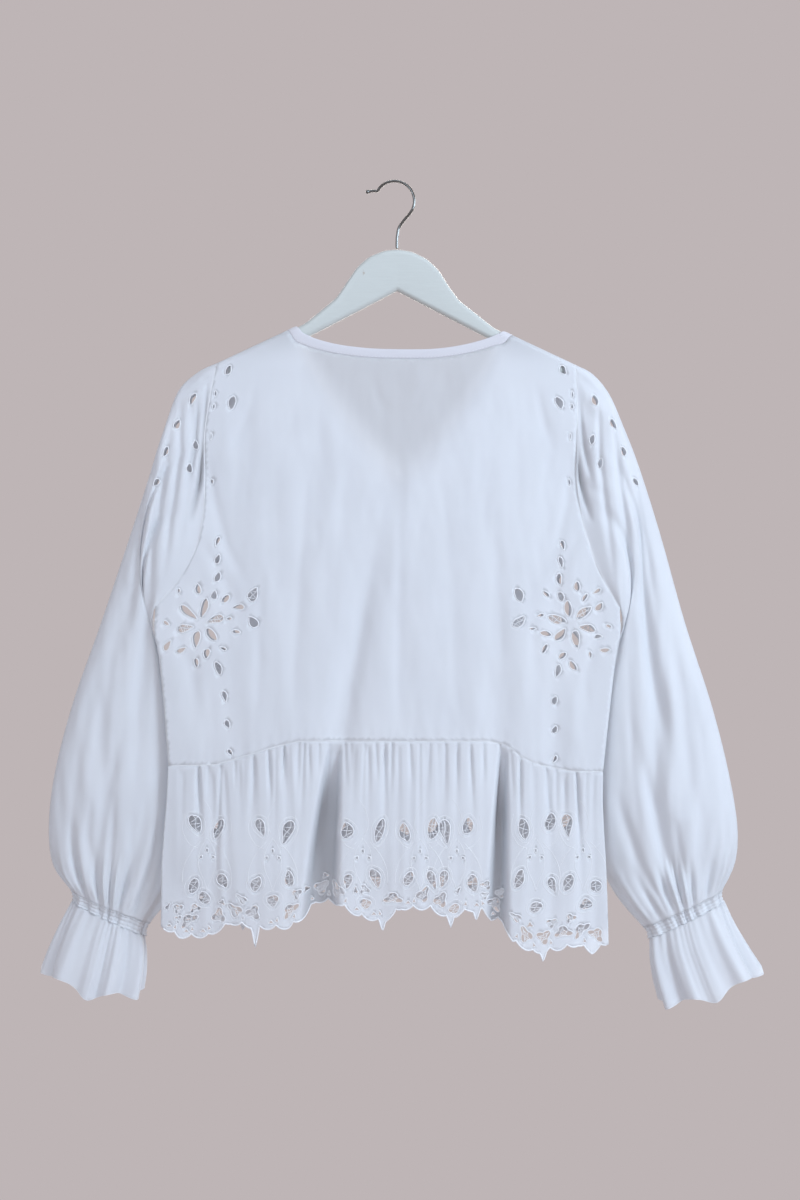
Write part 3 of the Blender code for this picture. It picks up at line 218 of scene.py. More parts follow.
# Soft troughs in the bodice
TROUGH_REACH = 1.2
TROUGH_RISE = 0.5
TROUGH_FADE_Z = (-650.0, -720.0)
TROUGH_START_DROP = (20.0, 60.0)
BODICE_FOLDS = (  # side, top x, top z, foot x, foot z, width, depth
    (BACK, -20, -372, -64, -640, 17, 6),
    (BACK, 96, -500, 116, -650, 13, 4),
    (BACK, -196, -500, -204, -650, 12, 2.5),
    (BACK, 170, -520, 176, -650, 14, 2.5),
    (BACK, -150, -215, -176, -330, 16, 2),
    (BACK, 150, -218, 172, -330, 16, 2),
    (FRONT, -70, -330, -96, -640, 18, 5),
    (FRONT, 86, -340, 104, -650, 16, 5),
    (FRONT, 4, -420, 10, -640, 14, 3),
)

# Gathers of the peplum
PEPLUM_BACK_FOLDS = (  # seam x, hem x, seam flat, hem flat, width, seam depth, hem depth
    (-232, -236, 0, 0, 3.6, 2, 1.5),
    (-215.6, -217, 0, 0, 3.6, 3.5, 2),
    (-202, -196, 0, 2, 3.6, 4, 3.5),
    (-189, -180, 0, 1, 3.6, 3.5, 4),
    (-172, -166, 0, 0, 3.4, 2.5, 0.5),
    (-155.1, -150, 0, 0, 3.6, 3.5, 1.5),
    (-138.6, -134, 0, 0, 3.4, 3, 1),
    (-122.1, -116, 0, 0, 3.6, 4.5, 3),
    (-109, -105, 0, 0, 3.2, 3, 0.5),
    (-95, -94.5, 0, 0, 3.2, 3, 0),
    (-64, -83.5, 4, 12, 3.2, 5, 20),
    (-44, -50, 0, 0, 3.6, 3, 0.5),
    (-30, -30, 0, 0, 3.4, 4, 1),
    (-12.1, -12, 0, 0, 3.6, 4.5, 1),
    (3, 2, 0, 0, 3.4, 3, 1.5),
    (17, 16, 0, 1, 3.6, 4.5, 3.5),
    (33, 32, 0, 0, 3.6, 4, 1.5),
    (50, 50, 0, 0, 3.4, 3, 0.5),
    (66, 66, 0, 0, 3.6, 4, 2),
    (81.4, 82, 0, 0, 3.4, 3.5, 1.5),
    (95, 95, 0, 0, 3.2, 2.5, 0.5),
    (119, 110, 2, 4.5, 3, 6, 18),
    (138, 130, 0, 0, 3.4, 2.5, 0.5),
    (152, 149, 0, 0, 3.6, 3, 1),
    (168, 168, 0, 0, 3.6, 4.5, 2),
    (183, 186, 0, 0, 3.4, 3, 1),
    (198, 203, 0, 0, 3.6, 4, 3),
    (213, 219, 0, 0, 3.4, 2.5, 1.5),
)
FRONT_FOLD_COUNT = 22
FRONT_FOLD_ENDS = (-234.0, 214.0)
FRONT_HEM_SPREAD = 1.035
FRONT_FOLD_SIZES = (3.5, 3.4, 4.2)  # width, depth at the seam and at the hem
PEPLUM_HEIGHT = 190.0
BELOW_HEM = 1.1
PEPLUM_SIDE_STOPS = (-680.0, -715.0, -750.0, -785.0)
HEM_SIDE_Z = -820.0
FOLD_RISE = 0.09
FOLD_FREE_SIDE = 14.0
FOLD_LEAN = 0.7
FOLD_TOP_WIDTH = 0.6
FOLD_WIDENING = 1.2
FOLD_DEEPENING = (0.02, 0.45)

# Hem line above its scallops
BACK_HEM = (  # x, z
    (-257, -812),
    (-237, -824),
    (-205, -823),
    (-180, -808),
    (-150, -813),
    (-116, -812),
    (-99, -800),
    (-88, -787),
    (-62, -787),
    (-40, -800),
    (-14, -806),
    (6, -791),
    (37, -791),
    (55, -801),
    (80, -793),
    (95, -794),
    (104, -806),
    (117, -808),
    (127, -828),
    (150, -840),
    (178, -836),
    (198, -832),
    (214, -841),
    (236, -828),
)
FRONT_HEM = (
    (-258, -810),
    (-200, -818),
    (-140, -808),
    (-104, -791),
    (-70, -787),
    (-10, -790),
    (60, -788),
    (98, -790),
    (126, -810),
    (180, -824),
    (236, -812),
)
SCALLOP_PITCH = 18.6
SCALLOP_DROP = 5.5
SCALLOP_ROUND = 0.7
HEM_POINTS = {  # x and extra drop of the petal tips that hang below the scallops
    BACK: ((-153, 26), (-14.5, 14), (59.5, 16), (87, 15), (160, 15)),
    FRONT: ((-170, 15), (-40, 12), (52, 12), (204, 13)),
}
HEM_POINT_HALF_WIDTH = 5.0

# Sleeves, ring by ring from the armhole to the shirring
LEFT_SLEEVE = (
    # outer x, outer z, inner x, inner z, outer y, inner y, half depth, bow
    (-195.8, -199.1, -262.7, -467.5, 0, -16, 8, 24),
    (-217, -209, -264.8, -470.5, 0, -14.8, 11, 12),
    (-239, -230, -266, -476.5, 0, -12.8, 13, -5),
    (-254, -270, -266.6, -488, 1, -9, 15, -12),
    (-270.6, -322, -263, -511, 2, -1, 17, -13),
    (-295.9, -399, -243, -548, 3, 8, 20, -7),
    (-325.6, -487, -230, -591, 4, 12.5, 22, 0),
    (-356.4, -575, -226.6, -641, 4, 14, 24, 0),
    (-376.2, -652, -227.5, -692, 4, 14, 25, 0),
    (-382.8, -713, -234, -738, 5, 14, 24, 0),
    (-377, -751, -250, -781, 6, 13, 20, 0),
    (-357, -782, -273.9, -817.3, 7, 12, 14, 0),
)
RIGHT_SLEEVE = (
    (196.9, -201.3, 244.4, -468.6, 0, -16, 8, -22),
    (216, -211.5, 246.3, -471.6, 0, -14.8, 11, -12),
    (234, -233, 247.6, -477.2, 0, -12.5, 13, 1),
    (250.5, -270, 248.2, -488, 1, -8.5, 15, 6),
    (267.5, -314, 243.6, -511, 2, -1, 17, 8),
    (291, -388, 224, -550, 3, 8, 20, 5),
    (318, -484, 213, -594, 4, 12.5, 22, 0),
    (348, -577, 211, -643, 4, 14, 24, 0),
    (367.5, -655, 214, -695, 4, 14, 25, 0),
    (376.5, -713, 224, -742, 5, 14, 24, 0),
    (373, -747, 241, -779, 6, 13, 20, 0),
    (358.6, -782.1, 275.5, -822, 7, 12, 14, 0),
)
SLEEVE_GATHERS = 7
EVEN_SPREAD = 0.28
CAP_GATHER = 0.6
CUFF_GATHER = 2.4
ARMHOLE_PULL_ROWS = 1.6
LAST_ROW = 11.0
CAP_ROWS = (0.0, 0.5, 0.8, 2.2)
CAP_SHARES = (0.0, 0.1, 0.45, 0.7)
CUFF_ROWS = (9.2, 10.4)
SLEEVE_FOLD_FADE = (0.0, 0.35, 0.75, 1.0)
FRONT_FOLD_PLACE = (0.85, 0.05)
SEARCH_ANGLES = (0.05, 3.05, 60)
SEARCH_ROWS = (0.02, 6.0, 120)
SLEEVE_FOLDS = {  # top share, top row, foot share, foot row, width in share, depth
    "left": (
        (0.52, 0.5, 0.80, 6.5, 0.050, 5),
        (0.30, 0.6, 0.52, 5, 0.040, 3.5),
        (0.45, 6.5, 0.35, 10.6, 0.050, 3.5),
        (0.72, 7.5, 0.62, 10.8, 0.045, 4),
        (0.16, 8, 0.24, 10.8, 0.035, 3),
    ),
    "right": (
        (0.55, 0.5, 0.78, 6, 0.050, 4),
        (0.32, 1.5, 0.40, 8.5, 0.060, 5),
        (0.62, 6.5, 0.50, 10.7, 0.045, 4.5),
        (0.80, 7.5, 0.70, 10.8, 0.040, 4),
        (0.24, 7.5, 0.28, 10.8, 0.040, 3),
    ),
}

# Cuffs: shirring, then ruffle
CUFF_RINGS = {  # outer x, outer z, inner x, inner z, outer y, inner y, half depth, bow
    "left": (
        (-357, -782, -273.9, -817.3, 7, 12, 14, 0),
        (-356.5, -793.5, -278, -831, 7, 12, 13, 0),
        (-369, -820, -276, -848, 6, 12, 16, -3),
        (-380, -848, -277, -872, 5, 12, 19, -8),
        (-386, -868, -281, -893, 5, 12, 21, -13),
    ),
    "right": (
        (358.6, -782.1, 275.5, -822, 7, 12, 14, 0),
        (361, -793.5, 280.5, -834, 7, 12, 13, 0),
        (371, -818, 281, -856, 6, 12, 16, 3),
        (385, -845, 285.5, -880, 5, 12, 19, 7),
        (399, -870, 293, -905, 5, 12, 21, 9),
    ),
}
SHIRRING_WAVES = 14
RUFFLE_WAVES = 9
SHIRRING_LIFT = 1.5
SHIRRING_PINCH = 1.6
RUFFLE_TOP_LIFT = 1.2
RUFFLE_LIFT = 6.0
RUFFLE_HEM_WAVE = 5.0
RUFFLE_UNEVEN = 0.9
RUFFLE_FINE, RUFFLE_FINE_WAVES = 0.8, (26, 2.0, 3)
RUFFLE_ROWS, RUFFLE_COLUMNS = 34, 320
SHIRRING_FINE = 0.5
SHIRRING_ROWS, SHIRRING_COLUMNS = 15, 260
ELASTIC, ELASTIC_STOPS, ELASTIC_STEPS = 0.45, (0.17, 0.5, 0.83), 240
CUFF_HEM, CUFF_HEM_STOPS, CUFF_HEM_STEPS = 0.55, (3.98,), 300
PANEL_CALM, PANEL_WIDTH = 0.8, 0.3
SHIRRING_CLOTH, RUFFLE_CLOTH, RING_CLOTH_HEIGHT = 120.0, 180.0, 20.0

# Cutwork
SIDE_FLOWER = {  # flower x, flower z, stem top x, stem top z, stem foot x, stem foot z, lean
    "left": (-214, -486, -190, -396, -176, -626, 1),
    "right": (192, -486, 177, -400, 168, -634, -1),
}
PETALS = 6
PETAL_REACH = 17.5
PETAL_SIZE = (19.0, 8.5)
PETAL_TURN = 14.0
STEM_LEAF_SIZE = (13.0, 7.0)
STEM_LEAF_TILTS = (18.0, -20.0)
STEM_SWAY = 7.0
STEM_LEAVES = {BACK: 4, FRONT: 3}
LEAF_X = 58.0
LEAF_SIZE = (16.0, 8.5)
LEAVES = ((32.0, 20.0), (2.0, -34.0))  # z above the flower, tilt
SHOULDER_EYELETS = {  # x, z, length, width, tilt
    "left": ((-184, -208, 12, 7, 40), (-180, -244, 12, 9, 12)),
    "right": ((183, -208, 12, 7, -40), (179, -244, 12, 9, -12)),
}
SLEEVE_SPRAY = {  # x, z, length, width, tilt; the last two only on the back
    "left": (
        (-222, -240, 13, 7, 24),
        (-240, -268, 12, 6.4, 24),
        (-252, -298, 10.9, 5.9, 24),
        (-262, -332, 9.9, 5.3, 24),
        (-220, -290, 11, 6, -16),
        (-226, -316, 11, 6, -16),
    ),
    "right": (
        (219, -240, 13, 7, -24),
        (237, -268, 12, 6.4, -24),
        (248, -298, 10.9, 5.9, -24),
        (262, -330, 9.9, 5.3, -24),
        (213, -286, 11, 6, 16),
        (222, -312, 11, 6, 16),
    ),
}
SPRAY_ON_BOTH = 4
PEPLUM_FLOWERS = {  # x of each flower
    BACK: (-206, -134, -36, 26, 66, 152, 204),
    FRONT: (-190, -118, -46, 26, 98, 170),
}
PEPLUM_FLOWER_Z = -745.0
PEPLUM_EYELETS = (  # x and z from the flower, length, width, tilt, on the front too
    (-15, 38, 24, 13, -14, True),
    (15, 38, 24, 13, 14, True),
    (-15.5, -22, 20, 12, 24, False),
    (15.5, -22, 20, 12, -24, False),
    (0, -45, 13, 15, 0, True),
)


def ramp(start, end, value):
    share = np.clip((value - start) / (end - start), 0.0, 1.0)
    return share * share * (3 - 2 * share)


def band(limits, value):
    """1 between the middle two of four limits, falling smoothly to 0 at the outer two."""
    return ramp(limits[0], limits[1], value) * (1 - ramp(limits[2], limits[3], value))


def bell(away, width):
    """A soft hill that is 1 at its middle."""
    return np.exp(-((away / width) ** 2))


def swaying(phi, waves, sway, sways):
    """Waves round an arm that stand closer here and wider there."""
    return np.cos(waves * phi + sway * np.sin(sways * phi))


def uneven(number, size, rate, phase=0.0):
    """A small amount that differs from one numbered fold, leaf or stitch to the next."""
    return size * math.sin(rate * number + phase)


def along(rows, place):
    """Straight lines through rows of (place, value)."""
    table = np.asarray(rows, float)
    return np.interp(place, table[:, 0], table[:, 1])


def through(rows, place):
    """A smooth curve through rows of (place, values...), read at each place."""
    table = np.asarray(rows, float)
    stops, values = table[:, 0], table[:, 1:]
    slopes = np.gradient(values, stops, axis=0)
    place = np.clip(np.asarray(place, float), stops[0], stops[-1])
    left = np.clip(np.searchsorted(stops, place, side="right") - 1, 0, len(stops) - 2)
    span = (stops[left + 1] - stops[left])[..., None]
    t = (place - stops[left])[..., None] / span
    rest = 1 - t
    start = values[left] * (1 + 2 * t) * rest**2 + slopes[left] * span * t * rest**2
    end = values[left + 1] * (3 - 2 * t) * t**2 - slopes[left + 1] * span * t**2 * rest
    return start + end


def unit(vectors):
    return vectors / np.linalg.norm(vectors, axis=-1, keepdims=True)


def normals_of(point, u, v, step_u, step_v):
    """Unit normals of a surface, point(u, v), from small steps along it."""
    across = point(u + step_u, v) - point(u - step_u, v)
    down = point(u, v + step_v) - point(u, v - step_v)
    return unit(np.cross(across, down))


def outward_normals(point, u, v, steps, side):
    """Unit normals of a surface, all turned to its own side of the blouse."""
    normals = normals_of(point, u, v, *steps)
    return -normals if np.sign(normals[..., 1].mean()) != side else normals


def inside(loop, points):
    """Which points lie inside a closed loop."""
    x, y = points[:, 0], points[:, 1]
    found = np.zeros(len(points), bool)
    for (x0, y0), (x1, y1) in zip(loop, np.roll(loop, -1, axis=0)):
        crosses = (y0 > y) != (y1 > y)
        with np.errstate(divide="ignore", invalid="ignore"):
            at = x0 + (y - y0) * (x1 - x0) / (y1 - y0)
        found ^= crosses & (x < at)
    return found


def distance_to(loop, points):
    nearest = np.full(len(points), np.inf)
    for start, end in zip(loop, np.roll(loop, -1, axis=0)):
        line = end - start
        share = np.clip((points - start) @ line / (line @ line), 0.0, 1.0)
        gap = np.linalg.norm(points - start - share[:, None] * line, axis=1)
        nearest = np.minimum(nearest, gap)
    return nearest


def cut_sheet(outline, holes, inner, stretch, clearance):
    """Triangles of a sheet with holes, as cloth coordinates and corner triples.

    stretch scales the coordinates to even triangles, and inner points closer than clearance
    to an edge are left out.
    """
    scale = np.asarray(stretch, float)
    border, *cuts = [np.asarray(loop, float) * scale for loop in (outline, *holes)]
    spare = inner * scale
    spare = spare[inside(border, spare)]
    spare = spare[distance_to(border, spare) > clearance]
    for cut in cuts:
        spare = spare[~inside(cut, spare)]
        spare = spare[distance_to(cut, spare) > clearance]
    corners, edges = [], []
    for loop in (border, *cuts):
        first = len(corners)
        corners.extend(loop)
        edges.extend((first + i, first + (i + 1) % len(loop)) for i in range(len(loop)))
    corners.extend(spare)
    found = delaunay_2d_cdt([Vector(corner) for corner in corners], edges, [], 0, CUT_TOLERANCE)
    places = np.array([tuple(corner) for corner in found[0]])
    triples = np.array(found[2])
    centres = places[triples].mean(axis=1)
    kept = inside(border, centres)
    for cut in cuts:
        kept &= ~inside(cut, centres)
    triples = triples[kept]
    used = np.unique(triples)
    order = np.zeros(len(places), int)
    order[used] = np.arange(len(used))
    return places[used] / scale, order[triples]


def rim_of(triples):
    """Directed edges that only one triangle has."""
    edges = np.concatenate([triples[:, [0, 1]], triples[:, [1, 2]], triples[:, [2, 0]]])
    known = {tuple(edge) for edge in edges}
    return [edge for edge in known if (edge[1], edge[0]) not in known]


def wall_faces(points, normals, triples):
    """Faces of a closed thin wall: its outer skin, its inner skin and its rim."""
    a, b, c = (points[triples[:, i]] for i in range(3))
    if np.einsum("ij,ij->i", np.cross(b - a, c - a), normals[triples[:, 0]]).sum() < 0:
        triples = triples[:, ::-1]
    count = len(points)
    faces = [*triples.tolist(), *(triples[:, ::-1] + count).tolist()]
    for first, second in rim_of(triples):
        faces += [(second, first, first + count), (second, first + count, second + count)]
    return faces


def grid_triples(rows, columns, around=False):
    """Two triangles for each cell of a grid, which may close around on its first column."""
    triples = []
    for row in range(rows - 1):
        for column in range(columns if around else columns - 1):
            a, b = row * columns + column, row * columns + (column + 1) % columns
            triples += [(a, b, b + columns), (a, b + columns, a + columns)]
    return np.array(triples)


def ring_quads(rings, sides, closed=False):
    """Faces between rings of corners that follow one another."""
    faces = []
    for i in range(rings if closed else rings - 1):
        j = (i + 1) % rings
        for k in range(sides):
            m = (k + 1) % sides
            faces.append((i * sides + k, i * sides + m, j * sides + m, j * sides + k))
    return faces


def end_faces(rings, sides):
    """The flat ends of a row of rings."""
    return [tuple(range(sides))[::-1], tuple(range((rings - 1) * sides, rings * sides))]


def shoulder_top(x):
    return along(SHOULDER, x)


def body_edges(z):
    sides = np.asarray(SIDES)[::-1]
    left = np.interp(z, sides[:, 0], sides[:, 1])
    right = np.interp(z, sides[:, 0], sides[:, 2])
    return left, right


def from_side(x, z):
    """How far x lies inside the nearer side of the body."""
    left, right = body_edges(z)
    return np.minimum(x - left, right - x)


def side_share(x, z):
    """How far x lies from the middle of the body towards its side, 0 to 1."""
    left, right = body_edges(z)
    reach = np.where(x < CENTRE_X, CENTRE_X - left, right - CENTRE_X)
    return np.clip(np.abs(x - CENTRE_X) / reach, 0.0, 1.0)


def side_stops(stops, edge):
    """Places down one side seam: edge 0 is the left one."""
    return [(float(body_edges(z)[edge]), z) for z in stops]


def fold_depth(x, z, side):
    """How far the bodice's soft troughs sink towards its inside."""
    sunk = np.zeros_like(x)
    for fold_side, top_x, top_z, foot_x, foot_z, width, depth in BODICE_FOLDS:
        if fold_side != side:
            continue
        share = (z - top_z) / (foot_z - top_z)
        line = top_x + (foot_x - top_x) * np.clip(share, 0.0, TROUGH_REACH)
        fade = ramp(0.0, TROUGH_RISE, share) * (1 - 0.5 * ramp(*TROUGH_FADE_Z, z))
        sunk = sunk + depth * fade * bell(x - line, width)
    return sunk


def body_point(x, drop, side):
    """The body at x, drop millimetres down the cloth from the shoulder seam."""
    top = shoulder_top(x)
    turn = np.clip(drop / ROLL, 0.0, math.pi / 2)
    flat = top + ROLL_EXTRA - drop
    z = np.where(drop < ROLL_LENGTH, top - ROLL * (1 - np.cos(turn)), flat)
    share = side_share(x, z)
    roundness = 1 - share**SIDE_ROUNDNESS
    seam = SEAM_GAP / 2
    rolled = seam + (ROLL - seam) * np.sin(turn)
    closing = ramp(*SIDE_CLOSING_DROP, drop)
    low = SIDE_EDGE + (ROLL - SIDE_EDGE) * roundness
    fullness = through(FULLNESS[::-1], z)[..., 0] * roundness
    half = rolled * (1 - closing) + low * closing + fullness
    half = half - fold_depth(x, z, side) * roundness * ramp(*TROUGH_START_DROP, drop)
    middle = -SIDE_SHIFT * share**4 * ramp(*SIDE_SHIFT_Z, z)
    return np.stack([x, middle + side * half, z], axis=-1)


def drop_of(x, z):
    return shoulder_top(x) + ROLL_EXTRA - z


def armhole(name, share):
    """Cloth coordinates of the armhole edge: x and the drop from the shoulder seam."""
    column = 0 if name == "left" else 2
    place = through(ARMHOLE, share)[..., column : column + 2]
    x = place[..., 0]
    return x, drop_of(x, place[..., 1])


def ring_share(phi):
    theta = phi + EVEN_SPREAD * np.sin(2 * phi)
    return (1 - np.cos(theta)) / 2


def neck_line(rows, columns):
    """x and drop along the neck edge or the binding's seam, with corners round the roll."""
    line = []
    for row in rows:
        x, z = row[columns], row[columns + 1]
        line.append((x, 0.0 if z is None else float(drop_of(x, z))))
    line = np.array(line)
    first, last = [], []
    for share in ROLL_SHARES:
        for start, after, found in ((line[0], line[1], first), (line[-1], line[-2], last)):
            reach = ROLL_LENGTH * share / after[1]
            found.append(start + (after - start) * reach)
    return np.array([line[0], *first, *line[1:-1], *last[::-1], line[-1]])


def spread(loop):
    """Cloth coordinates with the narrow roll at the shoulder widened for even triangles."""
    loop = np.array(loop, float).reshape(-1, 2)
    rolled = np.minimum(loop[:, 1], ROLL_LENGTH)
    loop[:, 1] += rolled * (ROLL_SPREAD - 1)
    return loop


def unspread(loop):
    loop = np.array(loop, float)
    rolled = np.minimum(loop[:, 1] / ROLL_SPREAD, ROLL_LENGTH)
    loop[:, 1] -= rolled * (ROLL_SPREAD - 1)
    return loop


def waist_z(x):
    return along(WAIST, x)


def peplum_folds(side):
    if side == BACK:
        return PEPLUM_BACK_FOLDS
    folds = []
    left, right = FRONT_FOLD_ENDS
    width, depth, hem_depth = FRONT_FOLD_SIZES
    for i in range(FRONT_FOLD_COUNT):
        share = i / (FRONT_FOLD_COUNT - 1)
        x = left + (right - left) * share + uneven(i, 2.4, 2.3)
        hem_x = CENTRE_X + (x - CENTRE_X) * FRONT_HEM_SPREAD + uneven(i, 2.0, 1.7, 1.0)
        depths = (depth + uneven(i, 0.9, 1.9), hem_depth + uneven(i, 2.0, 1.3, 2.0))
        folds.append((x, hem_x, 0.0, 0.0, width, *depths))
    return tuple(folds)


def fold_shape(fold, x, share):
    """How far into a fold x lies, 0 to 1, at a share of the peplum's height."""
    seam_x, hem_x, seam_flat, hem_flat, width = fold[:5]
    lean = share**FOLD_LEAN
    middle = seam_x + (hem_x - seam_x) * lean
    flat = seam_flat + (hem_flat - seam_flat) * lean
    wide = width * (FOLD_TOP_WIDTH + FOLD_WIDENING * share)
    return bell(np.maximum(np.abs(x - middle) - flat, 0.0), wide)


def fold_depths(fold):
    """Depth at the seam and at the hem: a small gather keeps only a share of its own."""
    seam_depth, hem_depth = fold[5:]
    if hem_depth >= DEEP_RECESS:
        return seam_depth, hem_depth
    least, more, rate = GATHER_SHARES
    own = least + more * np.abs(np.sin(rate * fold[0]))
    return GATHER_SHARE * own * seam_depth, HEM_FADE * hem_depth


def peplum_height(x, z):
    """Share of the way from the waist seam down to the hem."""
    return np.clip((waist_z(x) - z) / PEPLUM_HEIGHT, 0.0, BELOW_HEM)


def hem_z(x, side):
    line = along(BACK_HEM if side == BACK else FRONT_HEM, x)
    drop = SCALLOP_DROP * np.abs(np.sin(math.pi * x / SCALLOP_PITCH)) ** SCALLOP_ROUND
    for tip_x, tip_drop in HEM_POINTS[side]:
        spike = np.clip(1 - np.abs(x - tip_x) / HEM_POINT_HALF_WIDTH, 0.0, 1.0)
        drop = np.maximum(drop, tip_drop * spike)
    return line - drop


def peplum_point(x, z, side):
    base = body_point(x, drop_of(x, z), side)
    height = peplum_height(x, z)
    sunk = np.zeros_like(x)
    for fold in peplum_folds(side):
        top_depth, hem_depth = fold_depths(fold)
        depth = top_depth + (hem_depth - top_depth) * ramp(*FOLD_DEEPENING, height)
        sunk = np.maximum(sunk, depth * fold_shape(fold, x, height))
    sunk = sunk * ramp(0.0, FOLD_RISE, height) * ramp(0.0, FOLD_FREE_SIDE, from_side(x, z))
    base[..., 1] -= side * sunk
    return base


def ring_point(ring, phi, lift=0.0):
    """A point round a flattened ring: 0 is its outer edge and pi its inner edge."""
    outer_x, outer_z, inner_x, inner_z, outer_y, inner_y, depth, bow = np.moveaxis(ring, -1, 0)
    theta = phi + EVEN_SPREAD * np.sin(2 * phi)
    share = (1 - np.cos(theta)) / 2
    chord_x, chord_z = inner_x - outer_x, inner_z - outer_z
    length = np.hypot(chord_x, chord_z)
    way_x, way_z = chord_x / length, chord_z / length
    out_along, out_y = -np.cos(theta) * depth, np.sin(theta) * length / 2
    size = np.hypot(out_along, out_y)
    moved = lift * out_along / size
    bend = 4 * share * (1 - share) * bow
    x = outer_x + share * chord_x + moved * way_x - bend * way_z
    z = outer_z + share * chord_z + moved * way_z + bend * way_x
    y = outer_y + share * (inner_y - outer_y)
    y = y - depth * np.sin(theta) - lift * out_y / size
    return np.stack([x, y, z], axis=-1)


def armhole_start(name, phi, side):
    """Where the sleeve begins: the armhole edge moved out along the cloth by the seam gap."""

    def point(x, drop):
        return body_point(x, drop, side)

    def edge(angle):
        return point(*armhole(name, ring_share(np.clip(angle, 0.0, math.pi))))

    here = armhole(name, ring_share(phi))
    normal = outward_normals(point, *here, SMALL_STEPS, side)
    way = unit(np.cross(normal, edge(phi + TURN_STEP) - edge(phi - TURN_STEP)))
    outward = -1 if name == "left" else 1
    way = way * np.where(way[..., :1] * outward < 0, -1.0, 1.0)
    return point(*here) + way * SLEEVE_SEAM_GAP


def sleeve_rings(name):
    rings = LEFT_SLEEVE if name == "left" else RIGHT_SLEEVE
    return [(row, *ring) for row, ring in enumerate(rings)]


def sleeve_folds(name, share, row, side):
    sunk = np.zeros_like(share)
    for top, top_row, foot, foot_row, width, depth in SLEEVE_FOLDS[name]:
        way = (row - top_row) / (foot_row - top_row)
        line = top + (foot - top) * np.clip(way, 0.0, 1.0)
        if side == FRONT:
            line = line * FRONT_FOLD_PLACE[0] + FRONT_FOLD_PLACE[1]
        sunk = sunk + depth * band(SLEEVE_FOLD_FADE, way) * bell(share - line, width)
    return sunk


def sleeve_half(ring, phi, lift, apart, side):
    """A point on the back of a ring, moved apart from the other half, or on its front."""
    place = ring_point(ring, phi, lift)
    middle = ring[..., 4] + ring_share(phi) * (ring[..., 5] - ring[..., 4])
    place[..., 1] = middle - side * (place[..., 1] - apart - middle)
    return place


def sleeve_point(name, phi, row, side):
    """The sleeve at an angle from its outer edge and a ring number down its length."""
    rings = sleeve_rings(name)
    ring = through(rings, row)
    share = ring_share(phi)
    cap = CAP_GATHER * band(CAP_ROWS, row) * band(CAP_SHARES, share)
    cuff = CUFF_GATHER * ramp(*CUFF_ROWS, row) * (1 - 0.5 * ramp(LAST_ROW - 0.5, LAST_ROW, row))
    wave = np.cos(2 * SLEEVE_GATHERS * phi)
    lift = (cap + cuff) * wave - sleeve_folds(name, share, row, side)
    apart = (SIDE_EDGE - SEAM_GAP / 2) * share
    closing = SEAM_GAP / 2 + apart * (1 - ramp(0.0, 3.0, row))
    place = sleeve_half(ring, phi, lift, closing, side)
    start = through(rings, np.zeros_like(row))
    first = sleeve_half(start, phi, 0.0, SEAM_GAP / 2 + apart, side)
    edge = armhole_start(name, phi, side)
    hold = 1 - ramp(0.0, ARMHOLE_PULL_ROWS, row)
    return place + (edge - first) * hold[..., None]


def ring_axis(ring):
    """Down the arm, across the ring's plane."""
    chord = np.array([ring[2] - ring[0], 0.0, ring[3] - ring[1]])
    axis = unit(np.cross(chord, [0.0, 1.0, 0.0]))
    return axis if axis[2] < 0 else -axis


def past_seam(ring):
    """A ring slid down the arm by the gap at a sleeve's seam."""
    axis = ring_axis(ring) * SLEEVE_SEAM_GAP
    moved = np.array(ring, float)
    moved[[0, 2]] += axis[0]
    moved[[1, 3]] += axis[2]
    return moved


def sleeve_place(name, x, z):
    """Angle and ring number of the sleeve's back where it passes x, z."""
    phi, row = np.meshgrid(np.linspace(*SEARCH_ANGLES), np.linspace(*SEARCH_ROWS))
    places = sleeve_point(name, phi, row, BACK)
    gap = np.hypot(places[..., 0] - x, places[..., 2] - z)
    best = np.unravel_index(gap.argmin(), gap.shape)
    return phi[best], row[best]


def hanger_outline(x):
    """Top and underside of the hanger at x."""
    crest = list(HANGER_CREST)
    hidden = [(sx, sz - HANGER_UNDER_CLOTH) for sx, sz in SHOULDER if abs(sx) > HANGER_HIDDEN_X]
    top = along(sorted(crest + hidden), x)
    return top, HANGER_CENTRE_UNDERSIDE - HANGER_ARM_FALL * abs(x - HOOK_X)


# Fine cloth
CLOTH = 0.7
PITCH = 4.0
ROW_SPACING = 0.87
EDGE_CLEARANCE = 0.45
CUT_TOLERANCE = 1e-5
CORD_TURN = (0.13, 0.97, 0.21)

# Gathers, creases and ripples of the fine cloth
DEEP_RECESS = 10.0
HEM_FADE = 0.3
GATHER_SHARE = 0.5
GATHER_SHARES = (0.3, 1.1, 0.37)  # least, what varies, and how fast along the seam
UNDERARM_BULGE = 3.0
UNDERARM_Z = -495.0
UNDERARM_HEIGHT = 17.0
UNDERARM_SHARES = (0.9, 1.0)
BODY_FREE_DROP = (22.0, 90.0)
BODY_FREE_SIDE = 26.0
BODY_SEEDS = {BACK: 3.1, FRONT: 8.7}
BODY_RIPPLES = ((26.0, 90.0, 1.5), (9.0, 26.0, 0.45))  # width, height, size
PUCKER_PITCH = 11.0
PUCKER_DEPTH = 0.3
PUCKER_SWAY, PUCKER_SWAY_PITCH = 2.3, 17.0
PUCKER_REACH = (20.0, 4.0)
SEAM_CALM = 3.0
PLEAT_WIDTH = 1.5
PLEAT_WIDENING = 2.6
PLEAT_LEAN = 9.0
PLEAT_LEAST = 0.4
PLEAT_FULL = 0.3
PLEAT_START = 0.012
FRONT_PLEAT_SPREAD = 0.97
PEPLUM_SEEDS = {BACK: 5.2, FRONT: 1.9}
PEPLUM_FREE_SIDE = 16.0
SMALL_RIPPLE, SMALL_RIPPLE_RISE = (19.0, 80.0, 0.7), (0.0, 0.15)
